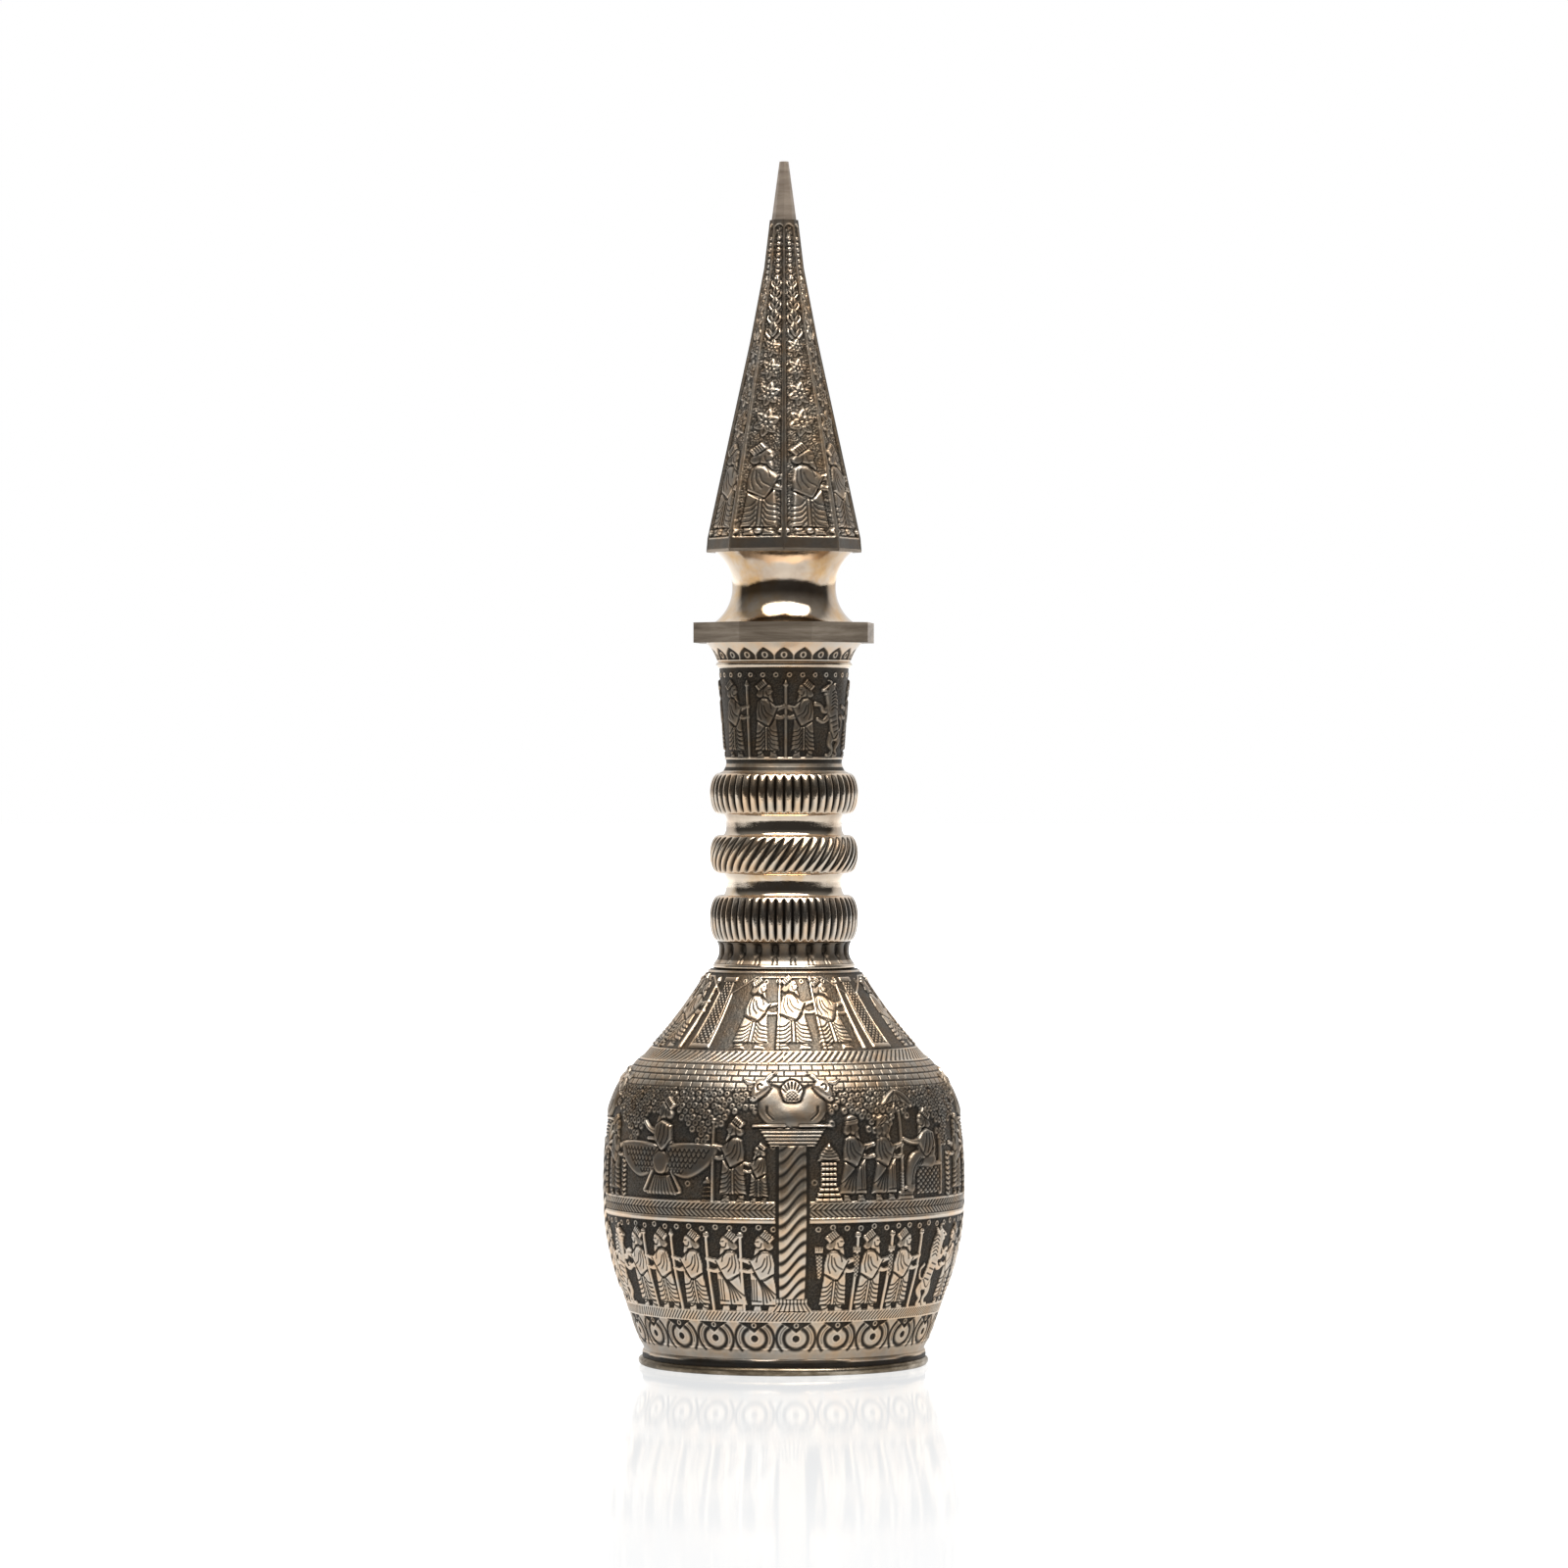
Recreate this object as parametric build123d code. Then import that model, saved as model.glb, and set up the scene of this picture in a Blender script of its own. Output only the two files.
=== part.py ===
"""Chased silver bottle with an eight-sided spire stopper, as separate soldered pieces.

Millimetres, +Z up. The origin is the centre of the foot's underside. The bottle is one body,
made of turned and raised sheet rings soldered in a stack. The stopper is the other body, and
its plug slides up out of the throat sleeve.
"""

from build123d import *
import os
from math import cos, pi, radians, sin

# Sheet and clearances
SHEET = 1.0               # thickness of the silver sheet
STEEP_SHEET = 1.4         # radial thickness where the wall leans, so that it stays a full sheet
PLUG_CLEARANCE = 0.3      # radial gap between the plug and the throat sleeve

# Heights of the bottle's seams, from the foot up
BASE_TOP = 2.4
SHOULDER_EDGE = 101.5
SHOULDER_TOP = 131.6
COLLAR_FOOT = 133.5
COLLAR_TOP = 140.6
LOWER_RING_TOP = 156.1
MIDDLE_RING_FOOT = 163.3
MIDDLE_RING_TOP = 176.1
UPPER_RING_FOOT = 183.0
UPPER_RING_TOP = 196.7
NECK_TOP = 231.4
MOUTH_FOOT = 233.7
MOUTH_TOP = 239.9

# Radii of the bottle
BASE_R = 47.8
FOOT_R = 47.2
BELLY_R = 59.6
SHOULDER_EDGE_R = 48.3
SHOULDER_TOP_R = 24.5
COLLAR_SEAM_R = 22.7      # inside the wire between shoulder and collar
SEAM_R = 21.5             # where a lobed ring meets its neighbour
RING_R = 24.7             # crown of the lobed rings
LINK_R = 19.3             # narrowest part of the polished links
MOUTH_R = 25.8
THROAT_R = 18.0           # bore of the throat sleeve

# Stopper
FLANGE_TOP = 246.6
FLANGE_R = 31.4           # centre to corner
FLANGE_TURN = -73.0       # direction of one corner of the flange, degrees from +X
SPOOL_TOP = 270.0
SPOOL_WAIST_R = 17.2
SPIRE_BAND_TOP = 275.6
SPIRE_BAND_R = 25.7       # centre to corner
SPIRE_TURN = -90.0        # an edge of the spire faces the front, -Y
SPIRE_TOP = 380.6
TIP_TOP = 400.0
TIP_FOOT_R = 4.1
TIP_END_R = 1.5
PLUG_FOOT = 212.0

# Centre-to-corner radius and height of the spire's faces, from foot to tip
SPIRE_SECTIONS = [(25.2, SPIRE_BAND_TOP), (18.5, 307.0), (11.3, 340.0), (6.6, 364.6), (4.7, SPIRE_TOP)]


def turned(*outline):
    """Solid of revolution about Z from curves that close a section in radius and height."""
    with BuildSketch(Plane.XZ) as section:
        with BuildLine():
            for curve in outline:
                add(curve)
        make_face()
    return revolve(section.sketch, axis=Axis.Z)


def shell(outer, inner):
    """Open sheet ring between two curves that both run from the bottom up."""
    return turned(outer, inner, Line(outer @ 0, inner @ 0), Line(outer @ 1, inner @ 1))


def barrel_ring(foot_z, top_z):
    """Hollow ring that bulges from its two seams, with lips turned in to meet the links."""
    middle = (foot_z + top_z) / 2
    outer = ThreePointArc((SEAM_R, foot_z), (RING_R, middle), (SEAM_R, top_z))
    inner = ThreePointArc((LINK_R, foot_z), (RING_R - SHEET, middle), (LINK_R, top_z))
    return shell(outer, inner)


def waisted_link(foot_z, top_z):
    """Polished link whose wall curves in to a waist between two rings."""
    end_r = LINK_R + 0.9
    middle = (foot_z + top_z) / 2
    outer = ThreePointArc((end_r, foot_z), (LINK_R, middle), (end_r, top_z))
    inner = ThreePointArc((end_r - SHEET, foot_z), (LINK_R - SHEET, middle), (end_r - SHEET, top_z))
    return shell(outer, inner)


def wire_ring(inner_r, foot_z, top_z):
    """Half-round wire soldered round the neck."""
    reach = inner_r + (top_z - foot_z) / 2
    outer = ThreePointArc((inner_r, foot_z), (reach, (foot_z + top_z) / 2), (inner_r, top_z))
    return shell(outer, Line((inner_r - SHEET, foot_z), (inner_r - SHEET, top_z)))


def octagon(corner_r, z, turn):
    """Eight-sided face at a height, with one corner in the given direction."""
    corners = [
        (corner_r * cos(radians(turn) + k * pi / 4), corner_r * sin(radians(turn) + k * pi / 4))
        for k in range(8)
    ]
    with BuildSketch(Plane.XY.offset(z)) as sketch:
        with BuildLine():
            Polyline(*corners, close=True)
        make_face()
    return sketch.sketch


def octagon_plate(corner_r, foot_z, top_z, turn):
    return extrude(octagon(corner_r, foot_z, turn), amount=top_z - foot_z)


def octagon_band(corner_r, foot_z, top_z, turn):
    outside = octagon_plate(corner_r, foot_z, top_z, turn)
    return outside - octagon_plate(corner_r - SHEET, foot_z, top_z, turn)


def base_plate():
    """Flat disc with a rolled rim; the disc's underside is the resting face."""
    disc = Cylinder(BASE_R - BASE_TOP / 2, SHEET, align=(Align.CENTER, Align.CENTER, Align.MIN))
    rim_r = BASE_R - BASE_TOP / 2
    rim = turned(
        Line((rim_r - BASE_TOP, 0), (rim_r, 0)),
        ThreePointArc((rim_r, 0), (BASE_R, BASE_TOP / 2), (rim_r, BASE_TOP)),
        Line((rim_r, BASE_TOP), (rim_r - BASE_TOP, BASE_TOP)),
        Line((rim_r - BASE_TOP, BASE_TOP), (rim_r - BASE_TOP, 0)),
    )
    return disc + rim


def bowl():
    """Raised shell from the foot, past the belly, to the edge of the shoulder."""
    edge = (SHOULDER_EDGE_R, SHOULDER_EDGE)
    wall = [(FOOT_R, BASE_TOP), (51.4, 17.7), (57.1, 36), (BELLY_R, 64), (56.6, 88.4), edge]
    outer = Spline(*wall)
    inner = Spline(*[(r - STEEP_SHEET, z) for r, z in wall])
    return shell(outer, inner)


def shoulder():
    """Hollow-sided cone from the shoulder's edge up to the neck, thickened under the collar."""
    slope = [(SHOULDER_EDGE_R, SHOULDER_EDGE), (45, 104.1), (36.2, 114.6), (29.6, 123.7)]
    outer = Spline(*slope, (SHOULDER_TOP_R, SHOULDER_TOP))
    inner = Spline(*[(r - STEEP_SHEET, z) for r, z in slope], (COLLAR_SEAM_R - SHEET, SHOULDER_TOP))
    return shell(outer, inner)


def collar():
    """Low collar with hollow sides."""
    middle = (COLLAR_FOOT + COLLAR_TOP) / 2
    outer = ThreePointArc((23.2, COLLAR_FOOT), (21.6, middle), (22.3, COLLAR_TOP))
    inner = ThreePointArc((21.9, COLLAR_FOOT), (20.5, middle), (21.2, COLLAR_TOP))
    return shell(outer, inner)


def neck_tube():
    """Tube that leaves the upper ring in a moulded foot and then widens towards the mouth."""
    foot_top = UPPER_RING_TOP + 3.3
    outer = [
        ThreePointArc((SEAM_R, UPPER_RING_TOP), (19.9, UPPER_RING_TOP + 1.3), (19.2, foot_top)),
        Line((19.2, foot_top), (SEAM_R, NECK_TOP)),
    ]
    inner = [
        Line((19.2 - SHEET, UPPER_RING_TOP), (19.2 - SHEET, foot_top)),
        Line((19.2 - SHEET, foot_top), (SEAM_R - SHEET, NECK_TOP)),
    ]
    foot = Line(outer[0] @ 0, inner[0] @ 0)
    rim = Line(outer[1] @ 1, inner[1] @ 1)
    return turned(*outer, *inner, foot, rim)


def mouth_flare():
    """Flared mouth; its flat rim carries the stopper's flange."""
    lip_seat = MOUTH_TOP - SHEET
    outer = ThreePointArc((22.1, MOUTH_FOOT), (23.3, 237.3), (MOUTH_R, MOUTH_TOP))
    inner = ThreePointArc((22.1 - SHEET, MOUTH_FOOT), (22.2, 237.0), (MOUTH_R - STEEP_SHEET, lip_seat))
    step = Line(inner @ 1, (MOUTH_R - STEEP_SHEET, MOUTH_TOP))
    return turned(outer, inner, step, Line(step @ 1, outer @ 1), Line(outer @ 0, inner @ 0))


def throat_sleeve():
    """Parallel sleeve that guides the plug, hung from the mouth by its flat lip."""
    sleeve_foot = MOUTH_FOOT - 19.7
    lip_seat = MOUTH_TOP - SHEET
    lip_r = MOUTH_R - STEEP_SHEET
    corners = [
        (THROAT_R, sleeve_foot),
        (THROAT_R + SHEET, sleeve_foot),
        (THROAT_R + SHEET, lip_seat),
        (lip_r, lip_seat),
        (lip_r, MOUTH_TOP),
        (THROAT_R, MOUTH_TOP),
    ]
    return turned(Polyline(*corners, close=True))


def plug_tube():
    plug_r = THROAT_R - PLUG_CLEARANCE
    return shell(
        Line((plug_r, PLUG_FOOT), (plug_r, MOUTH_TOP)),
        Line((plug_r - SHEET, PLUG_FOOT), (plug_r - SHEET, MOUTH_TOP)),
    )


def plug_cap():
    """Disc with a turned-down edge that closes the plug."""
    cap = Cylinder(THROAT_R - PLUG_CLEARANCE, SHEET, align=(Align.CENTER, Align.CENTER, Align.MAX))
    cap = Pos(0, 0, PLUG_FOOT) * cap
    return chamfer(cap.edges().sort_by(Axis.Z)[0], SHEET / 2)


def spool():
    """Polished waisted spool between the flange and the spire."""
    middle = (FLANGE_TOP + SPOOL_TOP) / 2
    outer = ThreePointArc((23.4, FLANGE_TOP), (SPOOL_WAIST_R, middle), (22.8, SPOOL_TOP))
    inner = ThreePointArc((22.2, FLANGE_TOP), (SPOOL_WAIST_R - SHEET, middle), (21.6, SPOOL_TOP))
    return shell(outer, inner)


def spire_shell():
    """Hollow eight-sided spire whose faces lean in less and less towards the tip."""
    outside = loft([octagon(r, z, SPIRE_TURN) for r, z in SPIRE_SECTIONS], ruled=True)
    inside = loft([octagon(r - SHEET, z, SPIRE_TURN) for r, z in SPIRE_SECTIONS], ruled=True)
    return outside - inside


def spire_tip():
    """Plain eight-sided finial, solid, with a blunt end."""
    foot = octagon(TIP_FOOT_R, SPIRE_TOP, SPIRE_TURN)
    end = octagon(TIP_END_R, TIP_TOP, SPIRE_TURN)
    return loft([foot, end], ruled=True)


PIECES = {
    "base_plate": base_plate(),
    "bowl": bowl(),
    "shoulder": shoulder(),
    "shoulder_bead": wire_ring(COLLAR_SEAM_R, SHOULDER_TOP, COLLAR_FOOT),
    "collar": collar(),
    "lower_ring": barrel_ring(COLLAR_TOP, LOWER_RING_TOP),
    "lower_link": waisted_link(LOWER_RING_TOP, MIDDLE_RING_FOOT),
    "middle_ring": barrel_ring(MIDDLE_RING_FOOT, MIDDLE_RING_TOP),
    "upper_link": waisted_link(MIDDLE_RING_TOP, UPPER_RING_FOOT),
    "upper_ring": barrel_ring(UPPER_RING_FOOT, UPPER_RING_TOP),
    "neck_tube": neck_tube(),
    "neck_bead": wire_ring(SEAM_R, NECK_TOP, MOUTH_FOOT),
    "mouth_flare": mouth_flare(),
    "throat_sleeve": throat_sleeve(),
    "plug_tube": plug_tube(),
    "plug_cap": plug_cap(),
    "flange_bottom_plate": octagon_plate(FLANGE_R, MOUTH_TOP, MOUTH_TOP + SHEET, FLANGE_TURN),
    "flange_rim": octagon_band(FLANGE_R, MOUTH_TOP + SHEET, FLANGE_TOP - SHEET, FLANGE_TURN),
    "flange_top_plate": octagon_plate(FLANGE_R, FLANGE_TOP - SHEET, FLANGE_TOP, FLANGE_TURN),
    "spool": spool(),
    "spire_base_plate": octagon_plate(SPIRE_BAND_R, SPOOL_TOP, SPOOL_TOP + SHEET, SPIRE_TURN),
    "spire_base_band": octagon_band(SPIRE_BAND_R, SPOOL_TOP + SHEET, SPIRE_BAND_TOP, SPIRE_TURN),
    "spire_shell": spire_shell(),
    "spire_tip": spire_tip(),
}

os.makedirs("parts", exist_ok=True)
for name, solid in PIECES.items():
    export_step(solid, f"parts/{name}.step")
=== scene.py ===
"""Looks of the chased silver bottle: relief drawn on unrolled walls, then wrapped round the frame."""

from math import ceil, cos, floor, pi, radians, sin, tan

import bpy
import numpy as np
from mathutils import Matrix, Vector


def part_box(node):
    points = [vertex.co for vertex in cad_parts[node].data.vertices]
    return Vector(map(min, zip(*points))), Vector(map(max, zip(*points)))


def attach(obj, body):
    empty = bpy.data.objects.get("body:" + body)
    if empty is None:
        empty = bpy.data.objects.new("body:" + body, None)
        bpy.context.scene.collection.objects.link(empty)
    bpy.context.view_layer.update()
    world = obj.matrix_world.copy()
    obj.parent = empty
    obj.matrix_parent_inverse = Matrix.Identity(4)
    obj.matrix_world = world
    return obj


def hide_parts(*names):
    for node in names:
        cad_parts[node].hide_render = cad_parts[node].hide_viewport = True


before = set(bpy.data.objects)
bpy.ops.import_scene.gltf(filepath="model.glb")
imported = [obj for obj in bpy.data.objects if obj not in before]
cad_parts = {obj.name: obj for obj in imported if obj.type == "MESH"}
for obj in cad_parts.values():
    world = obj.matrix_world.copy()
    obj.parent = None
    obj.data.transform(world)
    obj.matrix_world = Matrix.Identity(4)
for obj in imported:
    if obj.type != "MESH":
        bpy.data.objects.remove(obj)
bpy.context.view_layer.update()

# ---------------------------------------------------------------- drawing relief, in millimetres

MM = 0.001
GRID = 0.28               # spacing of the relief's points
SHEET = 0.9               # thickness of the chased walls behind their relief
INNER_ROWS = 8            # rows of points on the plain inside of a wall
LOBE_COLUMNS = 14         # columns of points to a ring's lobe
FLUTE_COLUMNS = 26        # columns of points to a flute or tongue
SEED = 7
BARE = 0.12               # relief below which the sheet counts as bare ground


def span(node):
    """Lowest and highest point of a CAD node, in millimetres."""
    low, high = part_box(node)
    return round(low[2] / MM, 2), round(high[2] / MM, 2)


def mirrored(points, side):
    """The points themselves where side is 1, or swapped left for right where it is -1."""
    return [(side * x, y) for x, y in points]


def block(half, low, high, top_half=None):
    """Outline of a block about the middle line, with its top narrower or wider if that is given."""
    top_half = half if top_half is None else top_half
    return [(-half, low), (half, low), (top_half, high), (-top_half, high)]


def bell(distance, width, power=2):
    """1 at no distance, falling away smoothly over a width."""
    return np.exp(-((distance / width) ** power))


def step_up(value, soft):
    """0 below zero and 1 above it, with a soft step between."""
    return np.clip(value / soft + 0.5, 0, 1)


def segment_offsets(ax, ay, bx, by, x, y):
    """Share of the way along a segment, and distance to it."""
    ex, ey = bx - ax, by - ay
    t = np.clip(((x - ax) * ex + (y - ay) * ey) / (ex * ex + ey * ey + 1e-12), 0, 1)
    return t, np.hypot(x - ax - t * ex, y - ay - t * ey)


def polygon_distance(points, x, y):
    """Signed distance to a closed outline, negative inside."""
    nearest = np.full(x.shape, np.inf)
    inside = np.zeros(x.shape, bool)
    for (ax, ay), (bx, by) in zip(points, np.roll(points, -1, axis=0)):
        nearest = np.minimum(nearest, segment_offsets(ax, ay, bx, by, x, y)[1])
        crosses = (ay > y) != (by > y)
        inside ^= crosses & (x < (bx - ax) * (y - ay) / (by - ay + 1e-12) + ax)
    return np.where(inside, -nearest, nearest)


def stroke_distance(points, widths, x, y):
    """Signed distance to a line whose width changes from point to point, negative inside."""
    nearest = np.full(x.shape, np.inf)
    for (ax, ay), (bx, by), wa, wb in zip(points[:-1], points[1:], widths[:-1], widths[1:]):
        t, away = segment_offsets(ax, ay, bx, by, x, y)
        nearest = np.minimum(nearest, away - (wa + (wb - wa) * t) / 2)
    return nearest


def curve(points, closed=False, spans=5):
    """Smooth line through a few points (Catmull-Rom)."""
    p = np.asarray(points, float)
    if closed:
        p = np.vstack([p[-1], p, p[:2]])
    else:
        p = np.vstack([2 * p[0] - p[1], p, 2 * p[-1] - p[-2]])
    t = np.linspace(0, 1, spans, endpoint=False)[:, None]
    pieces = [
        0.5 * (2 * b + (c - a) * t + (2 * a - 5 * b + 4 * c - d) * t**2 + (3 * b - a - 3 * c + d) * t**3)
        for a, b, c, d in zip(p[:-3], p[1:-2], p[2:-1], p[3:])
    ]
    line = np.vstack(pieces)
    return line if closed else np.vstack([line, p[-2]])


def blurred(values, reach, wraps):
    """Smooths rows and columns with a short bell-shaped window; reach is in grid points."""
    taps = np.arange(-ceil(2 * reach), ceil(2 * reach) + 1)
    weights = np.exp(-(taps / reach) ** 2)
    weights /= weights.sum()
    mode = "wrap" if wraps else "edge"
    wide = np.pad(values, ((0, 0), (len(taps) // 2,) * 2), mode=mode)
    values = sum(w * wide[:, k : k + values.shape[1]] for k, w in enumerate(weights))
    tall = np.pad(values, ((len(taps) // 2,) * 2, (0, 0)), mode="edge")
    return sum(w * tall[k : k + values.shape[0]] for k, w in enumerate(weights))


class Canvas:
    """An unrolled wall: x runs round to the right, y runs up the wall.

    relief is the height above the sheet, and tone says how brightly the silver is rubbed,
    from 0 in a blackened recess to 1 on polished metal.
    """

    def __init__(self, width, height, step=GRID, wraps=True, tone=0.0):
        self.width, self.height, self.wraps = width, height, wraps
        self.columns = round(width / step)
        self.rows = round(height / step) + 1
        self.dx = width / (self.columns if wraps else self.columns - 1)
        self.dy = height / (self.rows - 1)
        self.x, self.y = np.meshgrid(np.arange(self.columns) * self.dx, np.arange(self.rows) * self.dy)
        self.relief = np.zeros(self.x.shape)
        self.tone = np.full(self.x.shape, tone)

    def window(self, low, high):
        """Index, x and y of the points between two corners; columns go round the seam."""
        rows = np.arange(max(0, floor(low[1] / self.dy)), min(self.rows - 1, ceil(high[1] / self.dy)) + 1)
        columns = np.arange(floor(low[0] / self.dx), ceil(high[0] / self.dx) + 1)
        if not self.wraps:
            columns = columns[(columns >= 0) & (columns < self.columns)]
        x, y = np.meshgrid(columns * self.dx, rows * self.dy)
        return np.ix_(rows, columns % self.columns), x, y

    def band(self, low, high, relief, tone, edge=0.5):
        """Lays relief and tone, arrays or numbers, over the full turn between two heights."""
        inside = step_up(self.y - low, edge) * step_up(high - self.y, edge)
        self.relief += inside * (relief - self.relief)
        self.tone += inside * (tone - self.tone)

    def rim(self, y, width, height, tone=0.9):
        """Rounded ridge that runs all the way round."""
        dome = np.sqrt(np.clip(1 - ((self.y - y) / (width / 2)) ** 2, 0, 1))
        self.relief = np.maximum(self.relief, height * dome)
        self.tone += np.clip(dome * 2, 0, 1) * (tone - self.tone)

    def line(self, y, width, depth):
        """Engraved line that runs all the way round."""
        cut = bell(self.y - y, width / 2)
        self.relief -= depth * cut
        self.tone *= 1 - 0.9 * cut

    def matted(self, low, high, depth):
        """Fine punched ground between two heights, where nothing is raised."""
        grain = np.random.default_rng(SEED).random(self.relief.shape) - 0.5
        ground = (self.relief < BARE) & (self.y > low) & (self.y < high)
        self.relief += np.where(ground, depth * blurred(grain, 0.7, self.wraps) * 2, 0)

    def finished_tone(self):
        """Tone with the edges rubbed bright and the hollows left dark."""
        gain, reach, most = 2.2, 2.2, 0.28
        cavity = self.relief - blurred(self.relief, reach, self.wraps)
        return np.clip(self.tone + gain * np.clip(cavity, -most, most), 0, 1)


class Pen:
    """Draws on a canvas in a motif's own coordinates: x forwards, y up, one unit is `size` mm."""

    def __init__(self, canvas, x, y, size, facing=1, lift=0.45, tone=0.85, stretch=1.0, swell=1.0):
        self.canvas, self.x, self.y, self.size = canvas, x, y, size
        self.facing, self.lift, self.tone, self.stretch, self.swell = facing, lift, tone, stretch, swell

    def placed(self, points):
        """Points in millimetres on the canvas, from points in the pen's units."""
        p = np.asarray(points, float).reshape(-1, 2) * self.size
        return np.stack([self.x + p[:, 0] * self.facing * self.stretch, self.y + p[:, 1]], axis=1)

    def path(self, points):
        """Smooth line through points in the pen's units, or a straight one through two."""
        return self.placed(curve(points) if len(points) > 2 else points)

    def reach(self, points, margin):
        """Canvas window about points in millimetres."""
        return self.canvas.window(points.min(0) - margin, points.max(0) + margin)

    def field(self, outline, margin):
        """Index, x and y about an outline in millimetres, and how far each point is inside it, 0 to 1."""
        index, x, y = self.reach(outline, margin)
        return index, x, y, np.clip(0.5 - polygon_distance(outline, x, y) / self.canvas.dx, 0, 1)

    def along(self, points, width):
        """Index of the points about a line, and their distance to it in millimetres."""
        path = self.path(points)
        index, x, y = self.reach(path, width * 2)
        return index, stroke_distance(path, np.zeros(len(path)), x, y)

    def cut_in(self, index, cut, depth, dark):
        """Cuts a line's shape into the relief and darkens it."""
        self.canvas.relief[index] -= depth * cut
        self.canvas.tone[index] *= 1 - dark * cut

    def build_up(self, index, distance, height, tone, edge):
        """Raises the metal inside a distance field, with a rounded edge; height is a share of the lift."""
        rise = np.clip(-distance / (edge * self.swell), 0, 1)
        dome = np.sqrt(rise * (2 - rise)) * (height * self.lift)
        self.canvas.relief[index] = np.maximum(self.canvas.relief[index], dome)
        cover = np.clip(0.5 - distance / self.canvas.dx, 0, 1)
        blend_in(self.canvas.tone, index, cover, self.tone if tone is None else tone)

    def shape(self, points, height=1.0, tone=None, edge=0.55, smooth=False):
        """Filled outline."""
        outline = self.placed(curve(points, closed=True) if smooth else points)
        index, x, y = self.reach(outline, 0.5)
        self.build_up(index, polygon_distance(outline, x, y), height, tone, edge)

    def limb(self, points, widths, height=1.0, tone=None, edge=0.5):
        """Filled stroke, wider or narrower from point to point; widths are in the pen's units."""
        path = self.path(points)
        widths = np.interp(np.linspace(0, 1, len(path)), np.linspace(0, 1, len(widths)), widths) * self.size
        index, x, y = self.reach(path, widths.max() + 0.5)
        self.build_up(index, stroke_distance(path, widths, x, y), height, tone, edge)

    def disc(self, x, y, radius, height=1.0, edge=0.5):
        """Round boss."""
        angles = np.linspace(0, 2 * pi, 14, endpoint=False)
        outline = np.stack([x + radius * np.cos(angles), y + radius * np.sin(angles)], axis=1)
        self.shape(outline, height, edge=edge)

    def groove(self, points, width=0.42, depth=0.3, dark=0.85):
        """Chased line; width and depth are in millimetres."""
        index, away = self.along(points, width)
        self.cut_in(index, bell(away, width * 0.62), depth, dark)

    def ridge(self, points, width, rise, tone=0.8):
        """Fine raised line; width and rise are in millimetres."""
        index, away = self.along(points, width)
        swell = bell(away, width * 0.6)
        self.canvas.relief[index] += rise * swell
        blend_in(self.canvas.tone, index, swell, tone)

    def hatch(self, points, spacing, angle, width=0.3, depth=0.16):
        """Parallel engraved lines inside an outline; spacing in mm, angle in degrees."""
        index, x, y, inside = self.field(self.placed(points), 0.3)
        across = (x * sin(radians(angle)) - y * cos(radians(angle))) / spacing
        away = np.abs(across - np.round(across)) * spacing
        self.cut_in(index, bell(away, width * 0.62) * inside, depth, 0.6)

    def cross_hatch(self, points, spacing, angle=45, width=0.3, depth=0.16):
        """Two hatchings that cross."""
        for lean in (angle, -angle):
            self.hatch(points, spacing, lean, width, depth)

    def recess(self, points, height=0.0):
        """Crisp blackened field; height in millimetres above the sheet."""
        index, _, _, inside = self.field(self.placed(points), 0.5)
        blend_in(self.canvas.relief, index, inside, height)
        self.canvas.tone[index] *= 1 - 0.97 * inside

    def beads(self, points, spacing, radius, rise, tone):
        """Row of small pearls along a line; spacing, radius and rise in millimetres."""
        path = self.path(points)
        lengths = np.append(0, np.cumsum(np.hypot(*np.diff(path, axis=0).T)))
        for s in np.arange(0, lengths[-1] + 1e-6, spacing):
            x, y = (np.interp(s, lengths, path[:, axis]) for axis in (0, 1))
            index, away = around(self.canvas, x, y, radius * 2)
            swell = bell(away, radius * 0.8)
            self.canvas.relief[index] += rise * swell
            blend_in(self.canvas.tone, index, swell, tone)


def blend_in(layer, index, share, value):
    """Moves part of a canvas layer towards a value by a share from 0 to 1."""
    layer[index] += share * (value - layer[index])


def around(canvas, x, y, reach):
    """Index of the canvas points about a place, and their distance to it."""
    index, gx, gy = canvas.window((x - reach, y - reach), (x + reach, y + reach))
    return index, np.hypot(gx - x, gy - y)


def ring_punch(canvas, x, y, radius=0.85, tone=0.85):
    """Ring-shaped punch mark with a dark centre."""
    index, away = around(canvas, x, y, radius * 2)
    ring = bell(away - radius * 0.8, radius * 0.34)
    centre = bell(away, radius * 0.5)
    canvas.relief[index] += 0.2 * ring - 0.35 * centre
    blend_in(canvas.tone, index, ring, tone)
    canvas.tone[index] *= 1 - centre


def scatter_punches(canvas, seed, tries, low, span, clear, radius, tone, bare):
    """Ring punches at random places of a band, wherever the ground about them is bare."""
    rng = np.random.default_rng(seed)
    for _ in range(tries):
        x, y = rng.random() * canvas.width, low + span * rng.random()
        index, _, _ = canvas.window((x - clear, y - clear), (x + clear, y + clear))
        if canvas.relief[index].max() < bare:
            ring_punch(canvas, x, y, radius, tone)


# ---------------------------------------------------------------- motifs, one unit is a figure's height


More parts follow.
